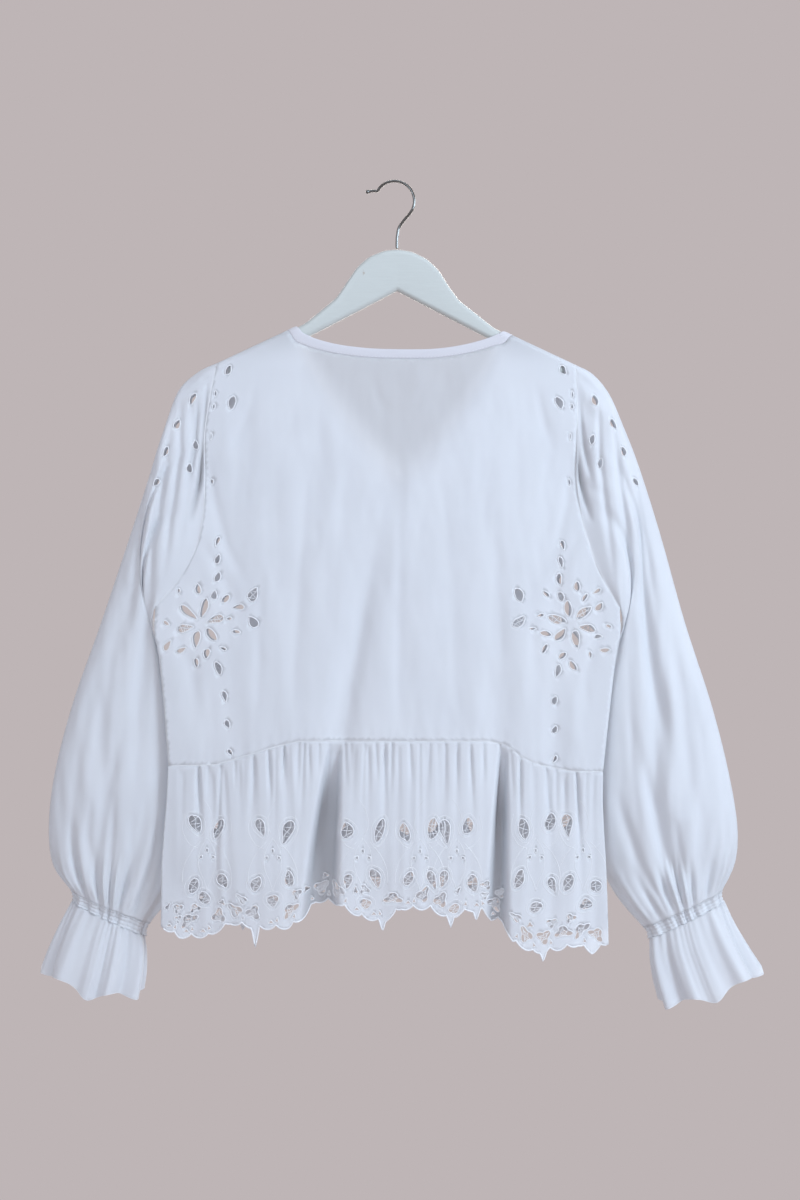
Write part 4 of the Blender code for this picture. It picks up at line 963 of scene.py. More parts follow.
LARGE_RIPPLE, LARGE_RIPPLE_RISE = (34.0, 120.0, 3.4), (0.1, 0.7)
SLEEVE_SEEDS = {BACK: 2.4, FRONT: 6.3}
SLEEVE_RIPPLES = ((20.0, 95.0, 2.2), (8.0, 34.0, 0.6))
SLEEVE_EDGE_SHARES = (0.0, 0.08, 0.92, 1.0)
SLEEVE_FREE_ROWS = (0.3, 1.6, 10.6, 11.0)
UPPER_CREASES_Z = (-520.0, -420.0)
FINE_CAP, FINE_CAP_ROWS, FINE_CAP_SHARES = 0.8, (0.05, 0.5, 0.6, 2.2), (0.02, 0.06, 0.14, 0.3)
FINE_CUFF_ROWS = (9.0, 10.4, 10.7, 11.0)
FINE_CAP_WAVES, FINE_CUFF_WAVES = (30, 2.0, 5), (36, 1.5, 4)  # waves round the arm, sway, sways
ARMHOLE_CREASE_ROWS = 0.25
GATHER_LINES = (  # seam x, reach as a share of the height, depth
    (-236, 0.30, 1.2),
    (-216, 0.55, 2.2),
    (-205, 0.30, 1.8),
    (-191, 0.75, 2.6),
    (-176, 0.22, 1.2),
    (-165, 0.40, 1.2),
    (-155, 0.50, 2),
    (-139, 0.35, 2),
    (-131, 0.60, 1.2),
    (-122, 0.30, 2.2),
    (-117, 0.85, 1.8),
    (-106, 0.35, 1.6),
    (-100, 0.50, 2.2),
    (-95, 0.28, 1.5),
    (-84, 0.24, 1.2),
    (-73, 0.60, 2.6),
    (-56, 0.32, 1.6),
    (-49, 0.22, 1.2),
    (-34, 0.45, 2),
    (-22, 0.28, 1.4),
    (-12, 0.60, 2.2),
    (-4, 0.38, 2.4),
    (15, 0.30, 1.6),
    (26, 0.75, 1.8),
    (37, 0.32, 1.4),
    (45, 0.50, 1.2),
    (54, 0.45, 2.2),
    (68, 0.30, 1.5),
    (81, 0.55, 2.2),
    (96, 0.28, 1.4),
    (114, 0.70, 2.6),
    (125, 0.34, 1.6),
    (136, 0.50, 2),
    (149, 0.26, 1.2),
    (164, 0.46, 2.2),
    (175, 0.32, 1.8),
    (186, 0.24, 1),
    (197, 0.60, 2.4),
    (208, 0.36, 2),
    (217, 0.25, 1.4),
)
CREASE_FADE = 0.8
CREASE_TOP_WIDTH = 0.8
CREASE_WIDENING = 0.4
CREASES = {  # piece: rows of width, depth, then x, z along the crease
    "bodice_back": (
        (9, 2.2, -18, -380, -34, -470, -52, -560, -62, -612),
        (7, 1.6, 4, -320, 5, -430, 2, -540, 3, -610),
        (8, 1.3, 52, -330, 60, -440, 66, -560, 64, -610),
        (8, 1.6, -96, -300, -104, -420, -112, -540, -106, -610),
        (10, 1.8, 108, -360, 112, -470, 121, -600),
        (6, 1.5, -146, -420, -150, -520, -154, -620),
        (7, 1.3, 146, -430, 151, -530, 149, -625),
        (5, 2, -206, -300, -199, -350, -186, -400, -160, -446),
        (5, 1.8, 192, -300, 188, -350, 176, -404, 150, -440),
        (5, 1.4, -214, -392, -196, -424, -170, -470),
        (5, 1.4, 204, -380, 184, -424, 160, -470),
        (6, 1.5, -246, -476, -222, -540, -216, -600),
        (6, 1.5, 228, -476, 208, -540, 204, -610),
        (5, 1.2, -150, -205, -164, -262, -182, -300),
        (5, 1.2, 150, -208, 162, -262, 174, -300),
        (9, -1.4, -72, -240, -66, -330, -76, -430),
        (9, -1.4, 80, -250, 86, -350, 92, -450),
        (5, 0.9, -30, -205, -18, -240, -4, -262),
        (5, 0.9, 40, -206, 28, -240, 12, -262),
    ),
    "bodice_front": (
        (9, 2.2, -66, -330, -80, -450, -90, -540, -96, -612),
        (9, 2.2, 80, -330, 92, -450, 98, -540, 104, -612),
        (7, 1.4, 2, -360, 6, -460, 9, -600),
        (7, 1.5, -36, -380, -40, -480, -44, -600),
        (7, 1.3, 44, -380, 48, -480, 52, -600),
        (5, 2, -204, -300, -196, -350, -176, -410, -150, -450),
        (5, 1.8, 192, -300, 184, -350, 168, -410, 142, -450),
        (6, 1.5, -246, -476, -222, -540, -216, -600),
        (6, 1.5, 228, -476, 208, -540, 204, -610),
        (6, 1.2, -140, -210, -150, -270, -160, -330),
        (6, 1.2, 140, -212, 150, -270, 158, -330),
    ),
    "armhole_left": (
        (2.8, 6, -207, -222, -209, -280, -215, -330, -226, -376),
        (2.6, 3, -217, -236, -220, -290, -227, -334),
    ),
    "armhole_right": (
        (2.8, 6, 188, -222, 194, -280, 202, -330, 214, -376),
        (2.6, 3, 200, -236, 206, -290, 215, -334),
    ),
    "sleeve_left_back": (
        (4.5, 3, -224, -232, -220, -290, -228, -360, -240, -420),
        (4, 2.6, -236, -238, -236, -300, -246, -370, -254, -440),
        (4.5, 2.8, -246, -262, -254, -330, -266, -400, -270, -470),
        (5, 2.6, -262, -300, -276, -370, -286, -440, -296, -500),
        (8, 3, -262, -430, -276, -510, -284, -590, -280, -660),
        (10, 3.4, -290, -440, -310, -530, -324, -610, -326, -690),
        (8, 2.4, -322, -520, -340, -590, -350, -660, -348, -730),
        (9, -2.4, -300, -480, -312, -560, -316, -640),
        (5, 3, -286, -690, -292, -740, -300, -790),
        (5, 3.2, -306, -670, -312, -730, -314, -784),
        (5, 3.2, -333, -676, -337, -720, -331, -776),
        (5, 2.6, -356, -700, -354, -740, -346, -772),
        (5, 2.4, -258, -700, -268, -750, -284, -798),
        (6, 1.8, -370, -640, -366, -700, -358, -750),
    ),
    "sleeve_right_back": (
        (4.5, 3, 210, -232, 204, -290, 206, -340, 214, -394),
        (4, 2.6, 222, -238, 222, -300, 230, -370, 238, -440),
        (4.5, 2.8, 238, -262, 244, -330, 254, -400, 260, -470),
        (5, 2.6, 256, -300, 268, -370, 280, -440, 290, -500),
        (9, 4.4, 266, -420, 277, -500, 283, -590, 286, -680, 302, -744, 330, -778),
        (9, 3, 296, -470, 312, -560, 320, -640, 318, -700),
        (8, 2.4, 318, -540, 334, -610, 342, -680, 338, -740),
        (9, -2.6, 300, -520, 303, -600, 305, -680),
        (6, 2.2, 254, -520, 258, -600, 262, -680, 274, -750),
        (5, 3, 284, -700, 292, -750, 296, -800),
        (5, 3, 306, -700, 312, -745, 312, -790),
        (5, 3, 330, -700, 330, -745, 328, -784),
        (5, 2.6, 352, -700, 350, -740, 345, -776),
        (5, 2.2, 362, -690, 362, -730, 354, -768),
    ),
    "sleeve_left_front": (
        (5, 3, -232, -236, -232, -300, -242, -380),
        (5, 2.6, -250, -262, -258, -340, -272, -430),
        (9, 3.4, -282, -400, -300, -500, -312, -600, -310, -690),
        (8, 2.6, -262, -470, -268, -560, -270, -660),
        (8, 2.6, -318, -520, -338, -600, -346, -700),
        (5, 3, -300, -690, -304, -740, -306, -794),
        (5, 3, -326, -690, -330, -740, -326, -784),
        (5, 2.6, -350, -690, -350, -740, -344, -776),
        (5, 2.6, -270, -700, -280, -750, -288, -800),
    ),
    "sleeve_right_front": (
        (5, 3, 218, -236, 216, -300, 224, -380),
        (5, 2.6, 242, -262, 250, -340, 262, -430),
        (9, 3.4, 278, -400, 296, -500, 306, -600, 304, -690),
        (8, 2.6, 250, -500, 254, -580, 262, -670),
        (8, 2.6, 314, -520, 332, -600, 340, -700),
        (5, 3, 296, -690, 300, -740, 302, -794),
        (5, 3, 322, -690, 326, -740, 324, -784),
        (5, 2.6, 348, -690, 346, -740, 342, -776),
        (5, 2.6, 272, -700, 282, -750, 290, -800),
    ),
}


def crease_field(name, x, z):
    """How deep the creases of a piece sink at x, z; each fades out at its two ends."""
    sunk = np.zeros_like(x)
    for width, depth, *line in CREASES[name]:
        points = np.array(line).reshape(-1, 2)
        nearest = np.full(x.shape, np.inf)
        place = np.zeros_like(x)
        count = len(points) - 1
        for i in range(count):
            way = points[i + 1] - points[i]
            share = ((x - points[i, 0]) * way[0] + (z - points[i, 1]) * way[1]) / (way @ way)
            held = np.clip(share, 0.0, 1.0)
            gap = np.hypot(x - points[i, 0] - held * way[0], z - points[i, 1] - held * way[1])
            closer = gap < nearest
            nearest = np.where(closer, gap, nearest)
            place = np.where(closer, (i + held) / count, place)
        fade = np.sin(math.pi * np.clip(place, 0.0, 1.0)) ** CREASE_FADE
        wide = width * (CREASE_TOP_WIDTH + CREASE_WIDENING * place)
        sunk = sunk + depth * fade * bell(nearest, wide)
    return sunk


def ripples(x, z, row, seed):
    """Smooth uneven waves of one width, height and size, one value for each place."""
    wide, tall, size = row
    flat = np.stack([np.ravel(x) / wide, np.ravel(z) / tall], axis=1)
    values = [noise.noise((a, b, seed)) for a, b in flat]
    return size * np.array(values).reshape(np.shape(x))


def body_surface(name, side):
    def point(x, drop):
        place = body_point(x, drop, side)
        z = place[..., 2]
        free = ramp(*BODY_FREE_DROP, drop) * ramp(0.0, BODY_FREE_SIDE, from_side(x, z))
        above = z - waist_z(x)
        sunk = crease_field(name, x, z)
        for row in BODY_RIPPLES:
            sunk = sunk + ripples(x, z, row, BODY_SEEDS[side])
        wave = np.cos(2 * math.pi * x / PUCKER_PITCH + PUCKER_SWAY * np.sin(x / PUCKER_SWAY_PITCH))
        sunk = sunk + PUCKER_DEPTH * wave * ramp(*PUCKER_REACH, above)
        place[..., 1] -= side * sunk * free * ramp(0.0, SEAM_CALM, above)
        low = bell(z - UNDERARM_Z, UNDERARM_HEIGHT) * ramp(*UNDERARM_SHARES, side_share(x, z))
        place[..., 0] += np.sign(x - CENTRE_X) * UNDERARM_BULGE * low
        return place

    return point


def pleats(x, height, side):
    """Short pleats where the cloth is gathered in: each fades out down the peplum."""
    sunk = np.zeros_like(x)
    for number, (seam_x, reach, depth) in enumerate(GATHER_LINES):
        place = seam_x if side == BACK else CENTRE_X - (seam_x - CENTRE_X) * FRONT_PLEAT_SPREAD
        lean = uneven(number, PLEAT_LEAN, 2.1, side) * height
        width = (PLEAT_WIDTH + uneven(number, 0.4, 1.3)) * (1 + PLEAT_WIDENING * height)
        fade = ramp(reach, PLEAT_FULL * reach, height) * ramp(0.0, PLEAT_START, height)
        own = PLEAT_LEAST + abs(uneven(number, 0.9, 1.9))
        sunk = sunk + own * depth * fade * bell(x - place - lean, width)
    return sunk


def recess(x, z):
    """How far into one of the peplum's two deep recesses a place of its back lies, 0 to 1."""
    height = peplum_height(x, z)
    deep = [fold for fold in PEPLUM_BACK_FOLDS if fold[6] >= DEEP_RECESS]
    return ramp(*FOLD_DEEPENING, height) * np.max([fold_shape(fold, x, height) for fold in deep], axis=0)


def peplum_surface(side):
    seed = PEPLUM_SEEDS[side]

    def point(x, z):
        place = peplum_point(x, z, side)
        height = peplum_height(x, z)
        sunk = pleats(x, height, side)
        sunk = sunk + ripples(x, z, SMALL_RIPPLE, seed) * ramp(*SMALL_RIPPLE_RISE, height)
        sunk = sunk + ripples(x, z, LARGE_RIPPLE, seed + 4.0) * ramp(*LARGE_RIPPLE_RISE, height)
        place[..., 1] -= side * sunk * ramp(0.0, PEPLUM_FREE_SIDE, from_side(x, z))
        return place

    return point


def sleeve_surface(name, side):
    def point(phi, row):
        phi, row = np.clip(phi, 0.0, math.pi), np.clip(row, 0.0, LAST_ROW)
        place = sleeve_point(name, phi, row, side)
        share = ring_share(phi)
        edge = band(SLEEVE_EDGE_SHARES, share)
        x, z = place[..., 0], place[..., 2]
        sunk = crease_field(f"sleeve_{name}_{END[side]}", x, z)
        sunk = sunk * (1.0 + 0.5 * ramp(*UPPER_CREASES_Z, z))
        for ripple in SLEEVE_RIPPLES:
            sunk = sunk + ripples(x, z, ripple, SLEEVE_SEEDS[side])
        cap = FINE_CAP * swaying(phi, *FINE_CAP_WAVES)
        cap = cap * band(FINE_CAP_ROWS, row) * band(FINE_CAP_SHARES, share)
        cuff = swaying(phi, *FINE_CUFF_WAVES) * band(FINE_CUFF_ROWS, row)
        beside = crease_field(f"armhole_{name}", x, z) * ramp(0.0, ARMHOLE_CREASE_ROWS, row)
        free = band(SLEEVE_FREE_ROWS, row)
        place[..., 1] -= side * ((sunk * free + beside + cuff) * edge + cap)
        return place

    return point


def dense(loop):
    """A closed loop with its sides divided to short even steps."""
    loop = np.asarray(loop, float)
    found = []
    for start, end in zip(loop, np.roll(loop, -1, axis=0)):
        count = max(1, math.ceil(np.linalg.norm(end - start) / OUTLINE_STEP))
        found += [start + (end - start) * i / count for i in range(count)]
    return np.array(found)


def field(outline):
    """Even staggered points over an outline's box."""
    low, high = outline.min(axis=0), outline.max(axis=0)
    rows = np.arange(low[1] + PITCH / 2, high[1], PITCH * ROW_SPACING)
    points = []
    for number, v in enumerate(rows):
        shift = PITCH / 2 * (number % 2)
        points += [(u, v) for u in np.arange(low[0] + shift, high[0], PITCH)]
    return np.array(points)


def add_object(name, data):
    item = bpy.data.objects.new(name, data)
    bpy.context.scene.collection.objects.link(item)
    return item


def add_piece(name, corners, faces, material):
    mesh = bpy.data.meshes.new(name)
    mesh.from_pydata((np.asarray(corners) * MM).tolist(), [], [tuple(face) for face in faces])
    mesh.materials.append(material)
    mesh.polygons.foreach_set("use_smooth", np.ones(len(mesh.polygons), bool))
    return add_object(name, mesh)


def add_mesh(name, corners, faces, material, cloth=None, painted_shade_tone=None):
    """A piece with its cloth coordinates, and its painted shade tone from shaded, 0, to plain, 1."""
    piece = add_piece(name, corners, faces, material)
    mesh = piece.data
    if cloth is not None:
        corner_vertex = np.empty(len(mesh.loops), np.int32)
        mesh.loops.foreach_get("vertex_index", corner_vertex)
        layer = mesh.uv_layers.new(name="cloth")
        layer.data.foreach_set("uv", (np.asarray(cloth)[corner_vertex] * MM).astype(np.float32).ravel())
    shade = mesh.attributes.new("painted_shade_tone", "FLOAT", "POINT")
    values = np.ones(len(mesh.vertices)) if painted_shade_tone is None else np.asarray(painted_shade_tone, float)
    shade.data.foreach_set("value", values.astype(np.float32))
    return piece


def shell(surface, sheet, triples, side, steps):
    """Corners and faces of a thin closed shell, and its cloth coordinates."""
    u, v = sheet.T
    middle = surface(u, v)
    normals = outward_normals(surface, u, v, steps, side)
    half = normals * CLOTH / 2
    corners = np.concatenate([middle + half, middle - half])
    return corners, wall_faces(middle, normals, triples), np.concatenate([sheet, sheet])


def tube(path, radius, sides=6, closed=False):
    """Corners and faces of a thin round cord along a path, thinner at its open ends."""
    path = np.asarray(path, float)
    count = len(path)
    if closed:
        way = np.roll(path, -1, axis=0) - np.roll(path, 1, axis=0)
    else:
        way = np.gradient(path, axis=0)
    way = unit(way + 1e-9)
    aside = unit(np.cross(way, CORD_TURN))
    up = np.cross(aside, way)
    angles = 2 * math.pi * np.arange(sides) / sides
    sizes = np.full(count, float(radius))
    if not closed:
        sizes[[0, -1]] *= 0.5
    ring = aside[:, None] * np.cos(angles)[:, None] + up[:, None] * np.sin(angles)[:, None]
    corners = (path[:, None] + ring * sizes[:, None, None]).reshape(-1, 3)
    faces = ring_quads(count, sides, closed)
    return corners, faces if closed else faces + end_faces(count, sides)


def add_cords(name, cords, material):
    """One object from many cords, each (path, radius, closed)."""
    corners, faces, first = [], [], 0
    for path, radius, closed in cords:
        more, sides = tube(path, radius, closed=closed)
        corners.append(more)
        faces += [tuple(first + i for i in face) for face in sides]
        first += len(more)
    return add_piece(name, np.concatenate(corners), faces, material)


# Cutwork as it is sewn: satin edges, net bars, outlines and openings above the hem
SATIN = 0.6
BAR = 0.36
OUTLINE = 0.38
OUTLINE_LIFT = 0.18
SATIN_LIFT = 0.25
RING_GROWTH = 4.2
NET_LEAST_WIDTH = 9.0
SEAM_ROUND = 0.6
EYE_SHARE = 0.9

# Neck binding
NECK_STEPS = 140
BINDING_SECTION = (  # share across the band, rise over its rounded middle's edge
    (0, -0.45),
    (0.06, 0),
    (0.2, 0.2),
    (0.5, 0.25),
    (0.8, 0.2),
    (0.94, 0),
    (1, -0.45),
)
BINDING_LIFT, BINDING_UNDER = 0.45, 0.5
STITCH, STITCH_LIFT, STITCH_SHARE = 0.22, 0.62, 0.86
JOIN_GAP = 0.05

# Shade where two layers show through or a fold is deep, 0 for none
FRONT_V_SHADE = 0.36
V_SOFTNESS = 32.0
RECESS_SHADE = 0.42
ARMHOLE_SHADE = 0.5
ARMHOLE_DEPTH = 6.0
SHADE_COLOUR = (0.33, 0.33, 0.35)

# Looks, each colour pair from light to dark unless it says otherwise
COTTON = ((0.84, 0.865, 0.905), (0.76, 0.785, 0.83))
# The binding is the body's cotton, coloured darker as painted shade on the band
SHADED_BINDING = ((0.60, 0.605, 0.655), (0.555, 0.56, 0.61))
THREAD = ((0.78, 0.80, 0.83), (0.70, 0.72, 0.76))
PAINT = ((0.465, 0.50, 0.50), (0.51, 0.55, 0.545))  # dark to light
BARE_WOOD = (0.33, 0.27, 0.22)
CHROME = ((0.13, 0.135, 0.135), (0.22, 0.225, 0.225))  # dark to light
WEAVE_SCALE, SLUB_SCALE, THREAD_SCALE = 700.0, 900.0, 1400.0
CLOUD_SCALE, CLOUD_SHARE = 14.0, 0.7
FIBRE_DEPTH, PAINT_RELIEF = 0.0002, 0.0005
GRAIN_STRETCH, GRAIN_SCALE = (6.0, 60.0, 60.0), 8.0
SCUFF_SCALE, SCUFF_LIMITS = 40.0, (0.69, 0.73)
DRAWN_SCALE = 500.0
COTTON_SHEEN = {
    "Roughness": 0.88,
    "Specular IOR Level": 0.25,
    "Sheen Weight": 0.25,
    "Sheen Roughness": 0.5,
}

# Leaves, seeds, buds and eyes
HOLE_SIDES = 22
LEAF_WAVES, LEAF_POINT, LEAF_HEEL = (0.10, 0.07), 0.25, 0.3
SPINE_STEPS, SPINE_SWAY, SPINE_BEND = 9, 0.13, 7.0
RUNGS, RUNG_SLANT = (-0.26, -0.02, 0.22), 0.09  # shares of a petal's length
BAR_STEPS = 4
OPENING_SIDES, OPENING_CORNERS = 24, 0.30
WEB_CORNERS, WEB_SHIFT = (1, 6, 10, 15, 20), (0.5, -0.8)
EDGE_SPARE = 1.5
LILY_SIDE = (  # x, z from the flower along each raised line of one side
    ((0, 26), (8, 12), (9, -6), (2, -24), (0, -32)),
    ((7, 22), (19, 8), (26, -8), (27, -24)),
    ((24, 52), (27, 36), (20, 20), (9, 14)),
)
LILY_STEM = ((2, 30), (6, 42), (2, 58), (-5, 68))
LILY_STEPS, LEAST_LILY_STEPS = 26, 6
FLOWER_SEEDS = ((0.0, 12.0, 5.0, 3.2, 0.0), (-6.5, 5.0, 4.6, 3.0, 40.0), (6.5, 5.0, 4.6, 3.0, -40.0))
BUD_COUNT = 17
BUD_TURN = 2.4
BUD_REACH = (29.0, 17.0)
BUD_LENGTH, BUD_WIDTH, BUD_RISE = 9.5, 0.52, 1.12
EYE_INSET, EYE_SIZE, EYE_LOOK_AHEAD = 5.5, (5.0, 2.7), 0.02
BODICE_CLEARANCE = 2.2
PEPLUM_CLEARANCE = 1.2
HEM_CLEARANCE = 1.3
LILY_CLEARANCE = 2.0
HEM_CORD, HEM_CORD_LIFT = 0.9, 0.2
WAIST_ENDS = (-248.5, 226.0)
WAIST_STEPS, PEPLUM_TOP_STEPS, HEM_STEPS = 120, 200, 420
ARMHOLE_STEPS = 61
SLEEVE_CAP_STEPS, SLEEVE_SIDE_STEPS, SLEEVE_CUFF_STEPS = 90, 80, 110
SLEEVE_STRETCH = (90.0, 55.0)
PEPLUM_STRETCH = (2.4, 1.0)
SLEEVE_STEPS = (0.003, 0.003)
OUTLINE_STEP = 5.0
ARMHOLE_EYES = (0.13, 0.18, 0.26, 0.31, 0.41, 0.49, 0.60)
HEM_ROWS = (  # height over the hem, half width, half height, shift, swing in degrees
    (13, 7.8, 6.2, 0, 50),
    (26, 4.4, 5.2, 7.5, 60),
    (14, 3.4, 4.4, 7, 70),
    (23, 2.6, 3.2, 0, 40),
    (2.7, 2.6, 1.7, 0, 0),
    (4.9, 1.6, 2.4, 6.5, 20),
)
LEAST_BARRED = 3.0
STRAIGHT_ROW_RISE = 6.0
HEM_SWAY, HEM_SWAY_RISE, HEM_SWAY_SIZE = 2.5, 0.6, 0.1


def leaf(length, width, tilt, growth=0.0):
    """Outline of a leaf or petal about its middle, a little uneven as sewn by hand."""
    angle = 2 * math.pi * np.arange(HOLE_SIDES) / HOLE_SIDES
    own = length + 3.1 * width + 0.7 * tilt
    wide, narrow = LEAF_WAVES
    edge = 1.0 + wide * np.sin(2 * angle + own) + narrow * np.sin(3 * angle + 1.7 * own)
    up = (length / 2 * edge + growth) * np.cos(angle)
    across = (width / 2 * edge + growth) * np.sin(angle) * np.abs(np.sin(angle)) ** LEAF_POINT
    across = across * (1.0 + LEAF_HEEL * math.sin(own) * np.cos(angle))
    turn = math.radians(tilt)
    x = across * math.cos(turn) + up * math.sin(turn)
    return np.stack([x, up * math.cos(turn) - across * math.sin(turn)], axis=1)


def net(length, width, tilt):
    """Bars across a petal: a wavy spine and rungs that slant from it to either edge."""
    turn = math.radians(tilt)
    across_way = np.array([math.cos(turn), -math.sin(turn)])
    up_way = np.array([math.sin(turn), math.cos(turn)])
    steps = np.linspace(-0.5, 0.5, SPINE_STEPS)
    sway = SPINE_SWAY * width * np.sin(steps * SPINE_BEND)
    bars = [up_way * (steps * length)[:, None] + across_way * sway[:, None]]
    for number, place in enumerate(RUNGS):
        reach = width / 2 * math.sqrt(1 - (2 * place) ** 2)
        for sign in (-1, 1):
            end_up = (place + RUNG_SLANT * sign * (-1) ** number) * length
            middle = SPINE_SWAY * width * math.sin(place * SPINE_BEND)
            share = np.linspace(0.0, 1.0, BAR_STEPS)[:, None]
            start = up_way * place * length + across_way * middle
            end = up_way * end_up + across_way * reach * sign
            bars.append(start + (end - start) * share)
    return bars


def opening(half_width, half_height, turn):
    """A three-cornered opening with curved sides."""
    angle = 2 * math.pi * np.arange(OPENING_SIDES) / OPENING_SIDES
    reach = 1.0 - OPENING_CORNERS * np.cos(3 * (angle - math.pi / 2) + math.pi)
    x, z = half_width * reach * np.cos(angle), half_height * reach * np.sin(angle)
    over, up = math.cos(math.radians(turn)), math.sin(math.radians(turn))
    return np.stack([x * over - z * up, x * up + z * over], axis=1)


def opening_bars(shape):
    """A web in an opening: bars from a point inside to its edge, and threads between them."""
    centre = shape.mean(axis=0) + WEB_SHIFT
    share = np.linspace(0.0, 1.0, BAR_STEPS)[:, None]
    ends = [shape[i] - centre for i in WEB_CORNERS]
    bars = [centre + end * share for end in ends]
    for number, (end, after) in enumerate(zip(ends, ends[1:] + ends[:1])):
        reach, next_reach = 0.42 + 0.2 * (number % 2), 0.50 + 0.14 * (number % 3)
        bars.append(centre + end * reach + (after * next_reach - end * reach) * share)
    return bars


def on_cloth(surface, places, steps, side, lift):
    """Points a little way out from the cloth's middle at its coordinates."""
    u, v = np.asarray(places).T
    return surface(u, v) + outward_normals(surface, u, v, steps, side) * lift


def varied(number, length, width, tilt):
    """Size and tilt of a hand-drawn petal, a little different from its neighbours."""
    size = 1.0 + uneven(number, 0.16, 2.7, 0.8)
    return length * size, width * (1.0 + uneven(number, 0.10, 1.9)), tilt + uneven(number, 9.0, 3.7)


def stands_clear(loop, others, outline, least):
    """Whether a cut loop keeps clear of the other loops and lies well inside the outline."""
    if not inside(outline, loop).all() or distance_to(outline, loop).min() < least + EDGE_SPARE:
        return False
    return all(np.linalg.norm(loop[:, None] - other[None], axis=2).min() > least for other in others)


class Cutwork:
    """The loops cut in one piece of cloth, and the cords sewn on it."""

    def __init__(self, surface, steps, side, border=None):
        self.surface, self.steps, self.side, self.border = surface, steps, side, border
        self.holes, self.cords = [], []

    def add_cord(self, places, lift, radius):
        path = on_cloth(self.surface, places, self.steps, self.side, lift)
        self.cords.append((path, radius, False))

    def add_eyelet(self, to_cloth, shape, bars, ringed=None, least=None):
        """Satin edge, bars and outline of one eyelet; with least, only where it stands clear."""
        loop = to_cloth(shape)
        if least is not None and not stands_clear(loop, self.holes, self.border, least):
            return
        self.holes.append(loop)
        rows = [(loop, SATIN_LIFT, SATIN, True)] + [(to_cloth(bar), 0.0, BAR, False) for bar in bars]
        if ringed is not None:
            rows.append((to_cloth(ringed), OUTLINE_LIFT, OUTLINE, True))
        places = np.concatenate([row[0] for row in rows])
        lifts = np.concatenate([np.full((len(path), 1), lift) for path, lift, _, _ in rows])
        laid = on_cloth(self.surface, places, self.steps, self.side, lifts)
        ends = np.cumsum([len(row[0]) for row in rows])[:-1]
        for path, (_, _, radius, closed) in zip(np.split(laid, ends), rows):
            self.cords.append((path, radius, closed))

    def add_petal(self, to_cloth, length, width, tilt, ringed=False, least=None):
        bars = net(length, width, tilt) if width >= NET_LEAST_WIDTH else []
        ring = leaf(length, width, tilt, RING_GROWTH) if ringed else None
        self.add_eyelet(to_cloth, leaf(length, width, tilt), bars, ring, least)


def body_cloth(x, z):
    def to_cloth(shape):
        place = np.asarray(shape) + (x, z)
        return np.stack([place[:, 0], drop_of(place[:, 0], place[:, 1])], axis=1)

    return to_cloth


def flat_cloth(x, z):
    return lambda shape: np.asarray(shape) + (x, z)


def sleeve_cloth(name, x, z, side):
    phi, row = sleeve_place(name, x, z)

    def seen(angle, along_row):
        return sleeve_point(name, np.array(angle), np.array(along_row), side)[[0, 2]]

    here = seen(phi, row)
    over, down = seen(phi + TURN_STEP, row) - here, seen(phi, row + TURN_STEP) - here
    turned = np.linalg.inv(np.stack([over, down], axis=1) / TURN_STEP)
    return lambda shape: np.asarray(shape) @ turned.T + (phi, row)


def side_flower(name, side):
    """Rows of x, z, length, width, tilt for the flower beside the side seam."""
    x, z, top_x, top_z, foot_x, foot_z, lean = SIDE_FLOWER[name]
    rows = []
    for i in range(PETALS):
        angle = 360 * i / PETALS + PETAL_TURN * lean
        turn = math.radians(angle)
        rows.append((x + PETAL_REACH * math.sin(turn), z + PETAL_REACH * math.cos(turn), *PETAL_SIZE, angle))
    length, width = STEM_LEAF_SIZE
    count = STEM_LEAVES[side]
    for i in range(1, count + 1):
        share = (i + 0.6) / (count + 0.6)
        size = 1.15 - 0.45 * share
        sway = STEM_SWAY * math.sin(4.0 * share) * lean
        for (end_x, end_z), tilt in zip(((top_x, top_z), (foot_x, foot_z)), STEM_LEAF_TILTS):
            place = (x + (end_x - x) * share + sway, z + (end_z - z) * share)
            rows.append((*place, length * size, width * size, tilt * lean))
    if side == BACK:
        rows += [(x + LEAF_X * lean, z + rise, *LEAF_SIZE, tilt * lean) for rise, tilt in LEAVES]
    return rows


def side_buds(name):
    """Small leaves scattered round the side flower."""
    x, z, *_, lean = SIDE_FLOWER[name]
    rows = []
    for i in range(BUD_COUNT):
        angle = BUD_TURN * i * lean + 0.5
        reach = BUD_REACH[0] + BUD_REACH[1] * (i / BUD_COUNT)
        length = BUD_LENGTH + uneven(i, 3.0, 1.7)
        place = (x + reach * math.sin(angle), z + BUD_RISE * reach * math.cos(angle))
        tilt = math.degrees(angle) + uneven(i, 30.0, 2.0)
        rows.append((*place, length, length * BUD_WIDTH, tilt))
    return rows


def armhole_eyes(name):
    """A row of small eyes on the bodice beside the armhole seam."""
    rows = []
    inward = 1.0 if name == "left" else -1.0
    for number, share in enumerate(ARMHOLE_EYES):
        inset = EYE_INSET + uneven(number, 2.5, 2.9)
        x, drop = (float(value) for value in armhole(name, share))
        after_x, after_drop = (float(value) for value in armhole(name, share + EYE_LOOK_AHEAD))
        tilt = math.degrees(math.atan2(after_x - x, drop - after_drop)) + uneven(number, 9.0, 1.0)
        z = float(shoulder_top(x)) + ROLL_EXTRA - drop
        length = EYE_SIZE[0] + abs(uneven(number, 4.0, 2.3, 0.6))
        width = EYE_SIZE[1] + uneven(number, 0.7, 1.7)
        rows.append((x + inset * inward, z, length, width, tilt))
    return rows


def cloth_piece(name, surface, outline, holes, stretch, steps, side, material, painted_shade_tone_of=None):
    scale = np.asarray(stretch, float)
    border = np.asarray(outline, float)
    inner = field(border * scale) / scale
    sheet, triples = cut_sheet(border, holes, inner, stretch, PITCH * EDGE_CLEARANCE)
    corners, faces, cloth = shell(surface, sheet, triples, side, steps)
    painted_shade_tone = None if painted_shade_tone_of is None else painted_shade_tone_of(corners)
    return add_mesh(f"{name}_cloth", corners, faces, material, cloth * scale, painted_shade_tone)


